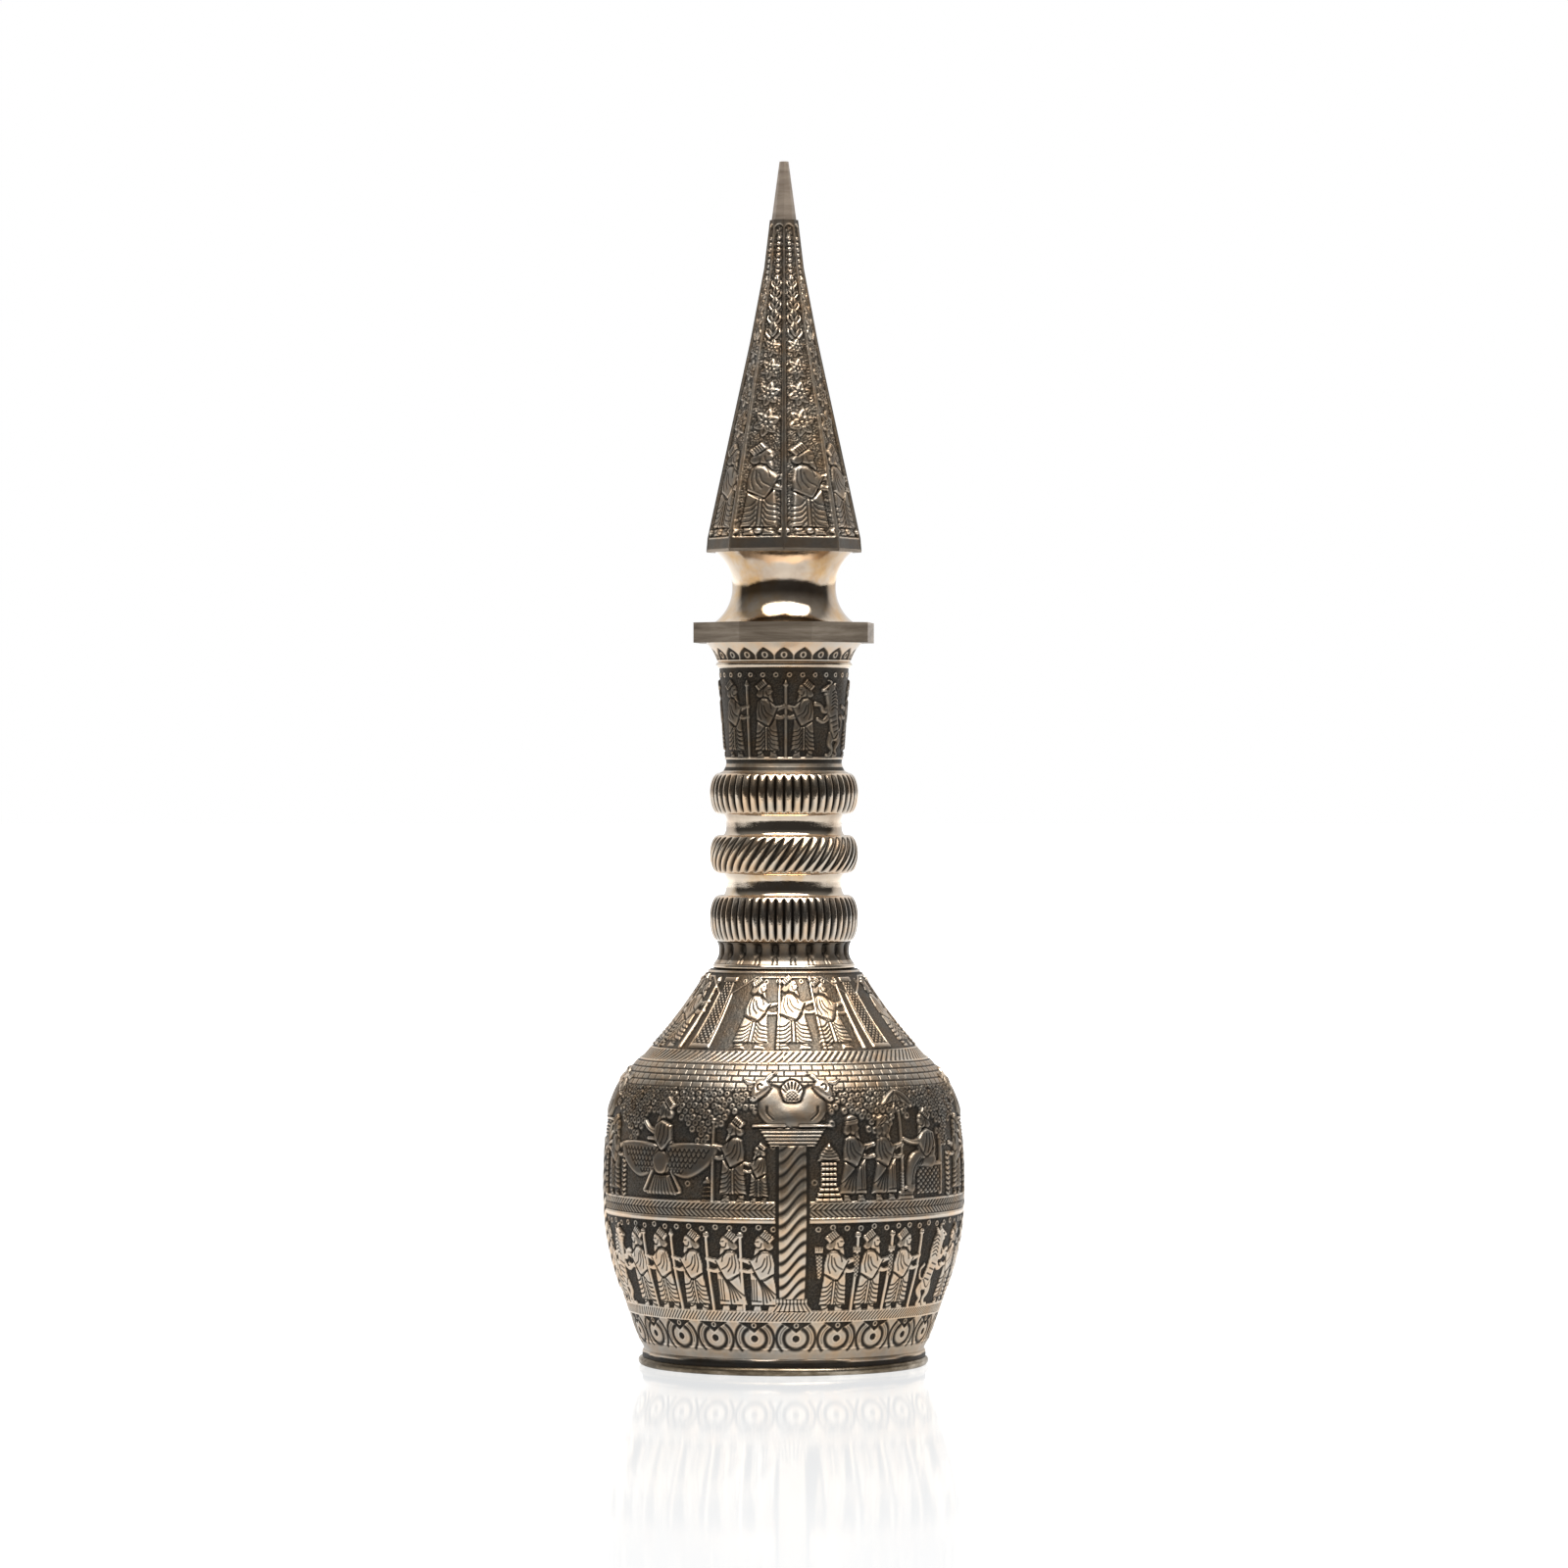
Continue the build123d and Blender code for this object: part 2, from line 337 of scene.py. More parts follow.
def crowned_head(pen):
    """Bowed head in profile with a fluted crown, hair bun and pointed beard."""
    pen.shape([(-0.045, 0.83), (-0.02, 0.90), (0.03, 0.935), (0.075, 0.90), (0.085, 0.855), (0.098, 0.835),
               (0.082, 0.82), (0.078, 0.79), (0.04, 0.755), (-0.02, 0.77)], 0.9)
    pen.shape([(0.015, 0.80), (0.078, 0.80), (0.095, 0.745), (0.10, 0.69), (0.05, 0.73)], 1.0, pen.tone * 0.7)
    pen.shape([(-0.12, 0.80), (-0.09, 0.76), (-0.04, 0.765), (-0.01, 0.83), (-0.02, 0.88), (-0.08, 0.86)],
              1.0, pen.tone * 0.6, smooth=True)
    pen.shape([(-0.135, 0.905), (-0.02, 1.0), (0.035, 0.935), (-0.08, 0.84)], 1.25, edge=0.35)
    pen.groove([(-0.065, 0.845), (0.04, 0.925)], 0.36, 0.26)
    for k in range(5):                                   # flutes of the crown
        step = (k + 0.5) / 5
        foot = (-0.065 + 0.1 * step, 0.865 + 0.08 * step)
        pen.groove([foot, (foot[0] - 0.045, foot[1] + 0.055)], 0.3, 0.25)
    pen.groove([(0.045, 0.86), (0.066, 0.862)], 0.28, 0.14)
    pen.groove([(0.012, 0.84), (0.03, 0.79), (0.075, 0.795)], 0.3, 0.18)


def robe_top(pen):
    """Chest, back and pointed sleeve, with both hands held forward."""
    pen.limb([(0.10, 0.60), (0.18, 0.625), (0.25, 0.645)], [0.085, 0.06, 0.055], 0.85)
    pen.limb([(0.11, 0.52), (0.18, 0.50), (0.25, 0.515)], [0.075, 0.05, 0.055], 0.8)
    pen.disc(0.255, 0.645, 0.032, 1.0)
    pen.disc(0.255, 0.515, 0.030, 1.0)
    pen.shape([(-0.10, 0.71), (-0.13, 0.58), (-0.125, 0.47), (0.045, 0.385), (0.10, 0.50), (0.165, 0.62),
               (0.09, 0.68), (0.02, 0.74), (-0.05, 0.75)], 1.1, edge=0.9)
    pen.groove([(-0.125, 0.465), (0.04, 0.39), (0.155, 0.62)], 0.45, 0.32)
    for fan in (0.1, 0.5, 0.95):                         # sleeve folds fan out from the shoulder
        pen.groove([(-0.08 + 0.06 * fan, 0.71 - 0.05 * fan), (-0.10 + 0.12 * fan, 0.58 - 0.01 * fan),
                    (-0.075 + 0.17 * fan, 0.475 + 0.05 * fan)], 0.34, 0.2, 0.8)
    pen.groove([(0.02, 0.745), (0.06, 0.68), (0.075, 0.62)], 0.34, 0.2)


def pleated_skirt(pen):
    """Skirt with a beaded middle strip and curved folds falling to both sides."""
    pen.shape([(-0.12, 0.46), (-0.16, 0.085), (0.17, 0.085), (0.13, 0.50), (0.04, 0.39)], 0.95)
    pen.groove([(-0.012, 0.39), (-0.018, 0.08)], 0.34, 0.3)
    pen.groove([(0.022, 0.39), (0.020, 0.08)], 0.34, 0.3)
    pen.beads([(0.004, 0.37), (0.001, 0.10)], 0.75, 0.26, 0.12, pen.tone)
    for k in range(6):
        drop = 0.055 * k
        pen.groove([(-0.03, 0.37 - drop), (-0.075, 0.315 - drop), (-0.15, 0.30 - drop)], 0.4, 0.26)
        pen.groove([(0.035, 0.40 - drop), (0.075, 0.335 - drop), (0.155, 0.315 - drop)], 0.4, 0.26)


def swept_skirt(pen):
    """Skirt whose folds sweep from the front of the waist to the back of the hem."""
    pen.shape([(-0.11, 0.46), (-0.19, 0.085), (0.16, 0.085), (0.15, 0.50), (0.04, 0.39)], 0.95)
    for k in range(5):
        spread = k / 4
        pen.groove([(0.12 - 0.03 * spread, 0.50 - 0.05 * spread), (0.02 - 0.09 * (1 - spread), 0.28),
                    (-0.16 + 0.17 * spread, 0.20 - 0.11 * spread)], 0.42, 0.28)
    for x in (0.085, 0.115, 0.14):
        pen.groove([(x, 0.40), (x + 0.005, 0.14)], 0.32, 0.2)
    pen.groove([(0.04, 0.13), (0.15, 0.135)], 0.34, 0.22)


def feet(pen):
    """Two shoes, one before the other."""
    pen.shape([(-0.13, 0.0), (-0.13, 0.075), (-0.06, 0.075), (-0.03, 0.0)], 0.75)
    pen.shape([(0.04, 0.0), (0.05, 0.075), (0.12, 0.075), (0.15, 0.0)], 0.75)


def quiver(pen):
    """Quiver of arrows slung behind the shoulder."""
    case = [(-0.235, 0.70), (-0.155, 0.70), (-0.15, 0.50), (-0.165, 0.40), (-0.20, 0.42)]
    pen.shape(case, 0.85)
    pen.cross_hatch(case, 0.9)
    pen.shape([(-0.24, 0.72), (-0.245, 0.80), (-0.15, 0.79), (-0.15, 0.72)], 0.8)
    pen.hatch([(-0.24, 0.74), (-0.245, 0.80), (-0.15, 0.79), (-0.15, 0.74)], 0.7, 90, 0.3, 0.2)
    pen.groove([(-0.24, 0.70), (-0.15, 0.70)], 0.34, 0.25)


def staff(pen, head="knob"):
    """Staff from the ground up, with a round knob or a spear blade."""
    x, top = 0.255, 0.93
    pen.limb([(x, 0.0), (x, top - 0.03)], [0.042, 0.036], 0.9, edge=0.35)
    if head == "knob":
        pen.disc(x, top, 0.038, 1.2)
        pen.groove([(x - 0.04, top), (x + 0.04, top)], 0.26, 0.14)
    else:
        pen.shape([(x, top + 0.06), (x + 0.036, top - 0.01), (x, top - 0.07), (x - 0.036, top - 0.01)], 1.1)


def guard(pen, skirt=pleated_skirt, head="knob", with_quiver=False, with_staff=True):
    """Standing guard in a long robe, in profile."""
    if with_quiver:
        quiver(pen)
    feet(pen)
    skirt(pen)
    if with_staff:
        staff(pen, head)
    robe_top(pen)
    crowned_head(pen)


def attendant(pen, hat="round"):
    """Bearded attendant in a swept robe with a soft hat."""
    feet(pen)
    swept_skirt(pen)
    robe_top(pen)
    pen.shape([(-0.05, 0.78), (-0.05, 0.86), (0.0, 0.92), (0.06, 0.89), (0.075, 0.85), (0.088, 0.83),
               (0.072, 0.815), (0.07, 0.78), (0.0, 0.75)], 0.9)
    pen.shape([(0.0, 0.80), (0.07, 0.80), (0.09, 0.70), (0.03, 0.72)], 1.0, pen.tone * 0.7)
    pen.shape([(-0.12, 0.79), (-0.07, 0.75), (-0.02, 0.80), (-0.04, 0.88), (-0.10, 0.87)], 1.0,
              pen.tone * 0.6, smooth=True)
    if hat == "round":
        pen.shape([(-0.10, 0.86), (-0.08, 0.96), (0.0, 0.985), (0.07, 0.94), (0.065, 0.88), (-0.01, 0.855)],
                  1.2, smooth=True)
        pen.groove([(-0.09, 0.91), (0.06, 0.935)], 0.34, 0.22)
    else:
        tall_hat = [(-0.11, 0.85), (-0.10, 0.97), (-0.03, 1.0), (0.04, 0.97), (0.09, 0.885), (-0.01, 0.88)]
        pen.shape(tall_hat, 1.2)
        pen.groove([(-0.08, 0.88), (0.03, 0.97)], 0.34, 0.22)
        pen.groove([(-0.04, 0.87), (0.06, 0.95)], 0.34, 0.22)


def rampant_beast(pen):
    """Horned and maned lion reared up on its hind legs, facing forwards."""
    pen.limb([(-0.14, 0.34), (-0.24, 0.36), (-0.27, 0.46), (-0.22, 0.52)], [0.03, 0.03, 0.03, 0.05], 0.7,
             edge=0.35)
    pen.limb([(-0.12, 0.30), (-0.21, 0.21), (-0.14, 0.11), (-0.17, 0.03), (-0.10, 0.02)],
             [0.15, 0.10, 0.055, 0.05, 0.05], 0.8)
    pen.limb([(-0.05, 0.28), (-0.01, 0.18), (-0.06, 0.10), (-0.03, 0.03), (0.04, 0.02)],
             [0.14, 0.09, 0.055, 0.05, 0.05], 1.0)
    pen.limb([(-0.11, 0.30), (-0.07, 0.48), (-0.02, 0.64)], [0.19, 0.17, 0.22], 1.25)
    pen.limb([(0.0, 0.62), (0.12, 0.60), (0.17, 0.67), (0.25, 0.69)], [0.10, 0.07, 0.05, 0.065], 1.0)
    pen.limb([(0.02, 0.53), (0.12, 0.46), (0.21, 0.49)], [0.09, 0.06, 0.055], 0.9)
    pen.limb([(-0.03, 0.68), (0.0, 0.80), (0.03, 0.86)], [0.22, 0.21, 0.18], 1.3)
    pen.shape([(0.02, 0.93), (0.10, 0.92), (0.17, 0.88), (0.175, 0.845), (0.13, 0.835), (0.12, 0.80),
               (0.04, 0.79)], 1.5)
    pen.limb([(0.03, 0.92), (0.02, 0.98), (0.07, 1.0)], [0.035, 0.03, 0.015], 1.3, edge=0.35)
    pen.limb([(-0.03, 0.91), (-0.06, 0.96)], [0.05, 0.02], 1.2, edge=0.35)
    pen.groove([(0.075, 0.89), (0.10, 0.885)], 0.36, 0.3)
    pen.groove([(0.11, 0.845), (0.165, 0.85)], 0.3, 0.2)
    for k in range(6):
        y = 0.88 - 0.045 * k
        pen.groove([(-0.11, y - 0.03), (-0.05, y - 0.005), (0.0, y - 0.035)], 0.34, 0.22)
    for k in range(4):
        pen.groove([(-0.17 + 0.03 * k, 0.36 + 0.06 * k), (-0.07 + 0.03 * k, 0.33 + 0.06 * k)], 0.34, 0.2)
    pen.groove([(-0.18, 0.34), (-0.08, 0.24), (-0.02, 0.32)], 0.36, 0.24)


def hero(pen):
    """Guard who holds a beast off with one arm and lifts a blade."""
    feet(pen)
    pleated_skirt(pen)
    robe_top(pen)
    crowned_head(pen)
    pen.limb([(0.25, 0.645), (0.33, 0.73)], [0.03, 0.02], 0.9, edge=0.35)


def rosette(pen):
    """Open flower of two rows of pointed petals about a domed centre; one unit is its radius."""
    petals = 6
    for row, (reach, half, height) in enumerate(((1.0, 0.34, 0.8), (0.66, 0.24, 1.3))):
        for k in range(petals):
            a = 2 * pi * (k + 0.5 * row) / petals + 0.3
            leaf = ((0.1, 0), (0.55 * reach, half), (reach, 0), (0.55 * reach, -half))
            petal = [(x * cos(a) - y * sin(a), x * sin(a) + y * cos(a)) for x, y in leaf]
            pen.shape(petal, height, edge=0.6, smooth=True)
            vein = [(0.2 * cos(a), 0.2 * sin(a)), (0.8 * reach * cos(a), 0.8 * reach * sin(a))]
            pen.groove(vein, 0.3, 0.22)
    pen.disc(0, 0, 0.17, 1.5, edge=0.5)
    pen.groove([(-0.02, 0), (0.02, 0)], 0.4, 0.3)


# ---------------------------------------------------------------- walls as profiles of radius and height


class Wall:
    """Smooth turned profile from bottom to top, sampled by its own length."""

    def __init__(self, points):
        line = curve(points, spans=24)
        self.r, self.z = line[:, 0], line[:, 1]
        self.s = np.append(0, np.cumsum(np.hypot(np.diff(self.r), np.diff(self.z))))
        self.length = self.s[-1]

    def at(self, s):
        """Radius, height and outward normal at a length up the wall."""
        small = 0.05
        r, z = np.interp(s, self.s, self.r), np.interp(s, self.s, self.z)
        low, high = np.clip(s - small, 0, self.length), np.clip(s + small, 0, self.length)
        dr = np.interp(high, self.s, self.r) - np.interp(low, self.s, self.r)
        dz = np.interp(high, self.s, self.z) - np.interp(low, self.s, self.z)
        size = np.hypot(dr, dz)
        return r, z, dz / size, -dr / size

    def up_to(self, z):
        """Length up the wall at a height."""
        return np.interp(z, self.z, self.s)


# ---------------------------------------------------------------- chased friezes

# Heights of the bowl's bands, from the foot up
FOOT_Z, EDGE_Z = span("bowl")
SCALES_Z = 7.0
ROPE_Z = 18.2
GUARDS_Z = 21.6
RIM_Z = 51.0
CHEVRON_Z = 52.6
COURT_Z = 57.4
BRICKS_Z = 94.0

BOWL_R = 57.0             # radius at which a canvas millimetre is a true one
COLUMN_TURN = 2.7         # direction of the first column, degrees to the right of the front
BAYS = 4

# Columns with an audience on their right and a blessing on their left
PAIR_STARTS = (COLUMN_TURN, COLUMN_TURN + 180)

bowl_wall = Wall([(47.0, FOOT_Z), (47.1, 4.2), (46.2, 5.8), (48.2, 9.8), (50.2, 15.1), (53.2, 24.2),
                  (56.8, 36.0), (58.9, 48.0), (59.3, 64.0), (58.2, 80.5), (56.4, 88.4), (52.6, 96.2),
                  (48.3, EDGE_Z)])


def turn_to_x(canvas, turn):
    """Place round the canvas of a direction in degrees, 0 at the front and positive to the right."""
    return (turn % 360) / 360 * canvas.width


def bow(radius, start, end, count=9):
    """Points along an arc about the origin; angles in degrees."""
    return [(radius * cos(a), radius * sin(a)) for a in np.radians(np.linspace(start, end, count))]


def draw_scales(canvas):
    """Overlapping scales with dark eyes, under dark triangles with ring punches."""
    count = 23
    low, high = bowl_wall.up_to(SCALES_Z + 2.2), bowl_wall.up_to(ROPE_Z)
    canvas.band(bowl_wall.up_to(FOOT_Z + 1.6), low, 0.42, 0.68)
    canvas.band(low, high, 0.42, 0.76)
    canvas.rim(low, 0.9, 0.6, 0.9)
    pitch = canvas.width / count
    first = turn_to_x(canvas, 4.5)
    stretch = BOWL_R / 49.5
    outer, fine, eye_ring, eye = 6.35, 5.2, 3.95, 1.15               # radii of a scale's arcs
    for k in range(count):
        x = first + k * pitch
        pen = Pen(canvas, x, bowl_wall.up_to(12.6), 1.0, lift=0.45, stretch=stretch)
        for side in (-1, 1):
            pen.groove(mirrored(bow(outer, -42, 47), side), 0.95, 0.36, 0.97)
            pen.groove(mirrored(bow(fine, -20, 52), side), 0.36, 0.12, 0.5)
        pen.groove(bow(eye_ring, -238, 58, 15), 1.15, 0.42, 1.0)
        pen.recess(bow(eye, 0, 330, 12), 0.1)
        top = Pen(canvas, x, high, 1.0, stretch=stretch)
        top.recess([(-5.6, 0.3), (5.6, 0.3), (3.2, -1.3), (1.6, -2.4), (0, -3.7), (-1.6, -2.4), (-3.2, -1.3)])
        ring_punch(canvas, x, high - 1.35, 0.85)
    # painted shade: the crevice at the bowl's foot is cut in and darkened almost to black, along an edge that
    # wanders
    turn = 2 * pi * canvas.x / canvas.width
    wander = 0.45 * np.sin(3 * turn + 2) + 0.25 * np.sin(8 * turn) + 0.15 * np.sin(19 * turn + 1)
    crevice_painted_shade = step_up(bowl_wall.up_to(FOOT_Z + 2.1) + wander - canvas.y, 0.5)
    canvas.relief -= 0.6 * crevice_painted_shade
    canvas.tone *= 1 - 0.97 * crevice_painted_shade


def draw_rope_band(canvas, low, high, pitch=1.4, lean=-0.9, tone=0.8):
    """Narrow raised band of slanting cuts between two plain edges."""
    slant = ((canvas.x + lean * (canvas.y - low)) / pitch) % 1.0
    cut = bell(slant - 0.5, 0.2)
    canvas.band(low, high, 0.42 - 0.26 * cut, tone * (1 - 0.75 * cut))
    canvas.rim(low, 0.7, 0.5, 0.85)
    canvas.rim(high, 0.7, 0.5, 0.85)


def draw_chevrons(canvas, low, high):
    """Two rows of slanting cuts that meet as arrowheads, under a thin rim."""
    pitch = canvas.width / 210
    middle = (low + high) / 2
    slant = ((canvas.x - 1.15 * np.abs(canvas.y - middle)) / pitch) % 1.0
    cut = bell(slant - 0.5, 0.2)
    canvas.band(low, high, 0.36 - 0.3 * cut, 0.55 * (1 - 0.92 * cut))
    canvas.line(middle, 0.35, 0.1)
    canvas.rim(high, 0.7, 0.45, 0.6)


def draw_guards_frieze(canvas):
    """Files of guards that walk away from every other column, met by heroes with beasts."""
    low, high = bowl_wall.up_to(GUARDS_Z), bowl_wall.up_to(RIM_Z)
    tall = 0.925 * (high - low)
    left_file = ((-9.5, swept_skirt, "knob"), (-21, swept_skirt, "knob"), (-34.2, pleated_skirt, "spear"),
                 (-46.8, pleated_skirt, "knob"))

    def pen_at(turn, facing):
        x = turn_to_x(canvas, turn)
        return Pen(canvas, x, low, tall, facing, lift=0.5, tone=0.84, stretch=BOWL_R / 56.0)

    for start in PAIR_STARTS:
        for turn, skirt, head in left_file:
            guard(pen_at(start + turn, -1), skirt, head)
        hero(pen_at(start - 58.5, -1))
        rampant_beast(pen_at(start - 70.5, 1))
        guard(pen_at(start - 81.5, 1), with_staff=False)
        for turn in (14.2, 27, 40):
            guard(pen_at(start + turn, 1), with_quiver=True)
        rampant_beast(pen_at(start + 57.5, 1))
        hero(pen_at(start + 69.5, -1))
        guard(pen_at(start + 82, 1), with_quiver=True)
    punches = 76
    for k in range(punches):
        x = (k + 0.3) / punches * canvas.width
        wander = 0.35 * sin(2.4 * k)
        if not near_column(canvas, x, 4.5):
            ring_punch(canvas, x, high - 1.9 + wander, 0.82)


def near_column(canvas, x, reach):
    """True where a frieze column stands in the way."""
    bay_width = canvas.width / BAYS
    offset = (x - turn_to_x(canvas, COLUMN_TURN) + bay_width / 2) % bay_width - bay_width / 2
    return abs(offset) < reach


def draw_bricks(canvas, low, high):
    """Courses of bricks in running bond, lit along their faces."""
    courses = 4
    course = (high - low) / courses
    row = np.floor((canvas.y - low) / course)
    brick = canvas.width / 84
    along = ((canvas.x / brick + 0.5 * (row % 2)) % 1.0 - 0.5) * brick
    up = ((canvas.y - low) / course % 1.0 - 0.5) * course
    joint = np.maximum(bell(np.abs(along) - brick / 2, 0.22), bell(np.abs(up) - course / 2, 0.24))
    canvas.band(low, high, 0.4 - 0.26 * joint, 0.64 * (1 - 0.9 * joint))


def draw_swags(canvas, low, high):
    """Clusters of curls that hang in arches between the columns."""
    rng = np.random.default_rng(SEED)
    bay_width = canvas.width / BAYS
    pitch = 2.25
    rows = ceil((high - low) / (pitch * 0.87))
    for row in range(rows):
        for k in range(round(canvas.width / pitch)):
            x = (k + 0.5 * (row % 2)) * pitch + rng.normal(0, 0.25)
            y = high - (row + 0.5) * pitch * 0.87 + rng.normal(0, 0.25)
            radius = 1.05 + 0.2 * rng.random()
            offset = (x - turn_to_x(canvas, COLUMN_TURN)) % bay_width / bay_width
            arch = abs(sin(3 * pi * offset)) ** 0.55          # three arches to a bay
            hang = (high - low) * (0.30 + 0.70 * (1 - arch) + 0.05 * rng.normal())
            if high - y < hang and not (near_column(canvas, x, 4.0) and y < low + 2):
                curl(canvas, x, y, radius, 0.55 + 0.3 * rng.random())


def curl(canvas, x, y, radius, rise):
    """Domed knob with a dimple, one of many in a cluster."""
    index, away = around(canvas, x, y, 2)
    swell = bell(away, radius, 4) - 0.55 * bell(away, 0.36 * radius)
    canvas.relief[index] = np.maximum(canvas.relief[index], rise * swell)
    ring = bell(away - 0.62 * radius, 0.3 * radius)
    canvas.tone[index] = np.maximum(canvas.tone[index], 0.42 * ring)


def column_shaft(pen, low, high, half):
    """Twisted shaft in millimetres, with a toothed ring and a flared foot."""
    canvas = pen.canvas
    foot = low + 4.6
    pen.shape(block(half + 3.2, low, low + 2.9, half + 0.8), 0.9)
    teeth = [-half - 0.6 + (2 * half + 1.2) * (k + 0.5) / 8 for k in range(8)]
    for x in teeth:
        pen.groove([(x * 1.45, low), (x, low + 2.8)], 0.4, 0.3)
    pen.shape(block(half + 1.0, low + 3.0, foot), 1.0)
    for x in teeth:
        pen.groove([(x, low + 3.1), (x, foot - 0.1)], 0.36, 0.26)
    outline = pen.placed(block(half, foot + 0.2, high))
    index, gx, gy = pen.reach(outline, 0.6)
    across = (gx - pen.x) / (half * pen.stretch)
    inside = step_up((1 - np.abs(across)) * half, canvas.dx) * (gy > pen.y + foot) * (gy < pen.y + high)
    twist = ((gy - 3.6 * np.sin(pi / 2 * np.clip(across, -1, 1))) / 4.1) % 1.0
    ridge = np.abs(np.sin(pi * twist)) ** 0.6
    dome = np.sqrt(np.clip(1 - across**2 * 0.85, 0, 1))
    blend_in(canvas.relief, index, inside, 0.95 * dome * (0.45 + 0.55 * ridge))
    rubbed = 0.92 - 0.42 * np.clip((gy - bowl_wall.up_to(CHEVRON_Z)) / 6, 0, 1)
    bright = 0.05 + rubbed * np.clip(2.2 * ridge - 1.05, 0, 1)
    blend_in(canvas.tone, index, inside, bright)


def abacus(pen, z):
    """Stepped block that widens upwards; millimetres."""
    steps, tall, narrow, wide = 5, 5.8, 7.2, 10.8
    pen.shape(block(narrow, z, z + tall, wide), 1.2, 0.34)
    for k in range(steps):
        y = z + 0.7 + 1.15 * k
        half = narrow + 3.6 * (y - z) / tall
        pen.groove([(-half, y), (half, y)], 0.5, 0.35, 0.95)
        pen.ridge([(-half, y + 0.55), (half, y + 0.55)], 0.34, 0.12, 0.6)


def bull_capital(pen):
    """Two bull foreparts set back to back, with a palmette crown between; one unit is their height."""
    body = [(0, 0.02), (0.32, 0.03), (0.46, 0.13), (0.55, 0.28), (0.56, 0.46), (0.50, 0.62), (0.36, 0.73),
            (0.21, 0.67), (0.15, 0.55), (0.11, 0.44), (0, 0.42)]
    body += mirrored(body[-2:0:-1], -1)
    pen.groove(body, 1.2, 0.4, 0.9)
    pen.shape(body, 2.2, pen.tone * 0.62, edge=3.6, smooth=True)
    crown = [(-0.12, 0.46), (-0.19, 0.66), (-0.11, 0.79), (0, 0.84), (0.11, 0.79), (0.19, 0.66), (0.12, 0.46)]
    pen.groove(crown, 0.9, 0.4, 0.95)
    pen.shape(crown, 1.5, pen.tone * 0.8, smooth=True)
    for k in range(7):
        a = radians(18 + 24 * k)
        pen.groove([(0.11 * cos(a), 0.58 + 0.09 * sin(a)), (0.17 * cos(a), 0.60 + 0.20 * sin(a))], 0.4, 0.4)
    button = [(-0.10, 0.46), (-0.09, 0.57), (0, 0.63), (0.09, 0.57), (0.10, 0.46)]
    pen.shape(button, 1.8, pen.tone * 0.7)
    pen.cross_hatch(button, 0.9)
    for side in (-1, 1):

        def at(*points):
            return mirrored(points, side)

        head = at((0.35, 0.70), (0.40, 0.80), (0.52, 0.86), (0.63, 0.80), (0.68, 0.64), (0.70, 0.48),
                  (0.62, 0.45), (0.52, 0.52), (0.42, 0.60))
        pen.groove(at((0.36, 0.68), (0.43, 0.57), (0.53, 0.49), (0.63, 0.43), (0.71, 0.46)), 0.9, 0.6, 0.95)
        pen.shape(head, 3.0, pen.tone * 1.15, edge=2.6, smooth=True)
        ear = at((0.46, 0.80), (0.37, 0.91), (0.26, 0.97))
        pen.limb(ear, [0.07, 0.10, 0.02], 2.2, pen.tone * 1.1, edge=0.8)
        pen.groove(at((0.43, 0.84), (0.36, 0.91), (0.30, 0.94)), 0.4, 0.3)
        pen.limb(at((0.63, 0.79), (0.75, 0.79), (0.86, 0.86)), [0.05, 0.09, 0.02], 1.8, edge=0.8)
        pen.groove(at((0.50, 0.71), (0.55, 0.74), (0.59, 0.69), (0.57, 0.63)), 0.45, 0.5)
        pen.groove(at((0.61, 0.50), (0.69, 0.54)), 0.42, 0.4)
        pen.groove(at((0.30, 0.14), (0.40, 0.24), (0.41, 0.34)), 0.6, 0.4)
        pen.limb(at((0.12, 0.045), (0.62, 0.035)), [0.07, 0.05], 1.9, pen.tone * 0.5, edge=0.8)


def chest_folds(pen, first, spreads):
    """Three folds that fan out from the shoulder, from the first one's points by their spreads."""
    for fan in (0.0, 0.5, 1.0):
        pen.groove([(x + spread * fan, y) for (x, y), spread in zip(first, spreads)], 0.36, 0.24)


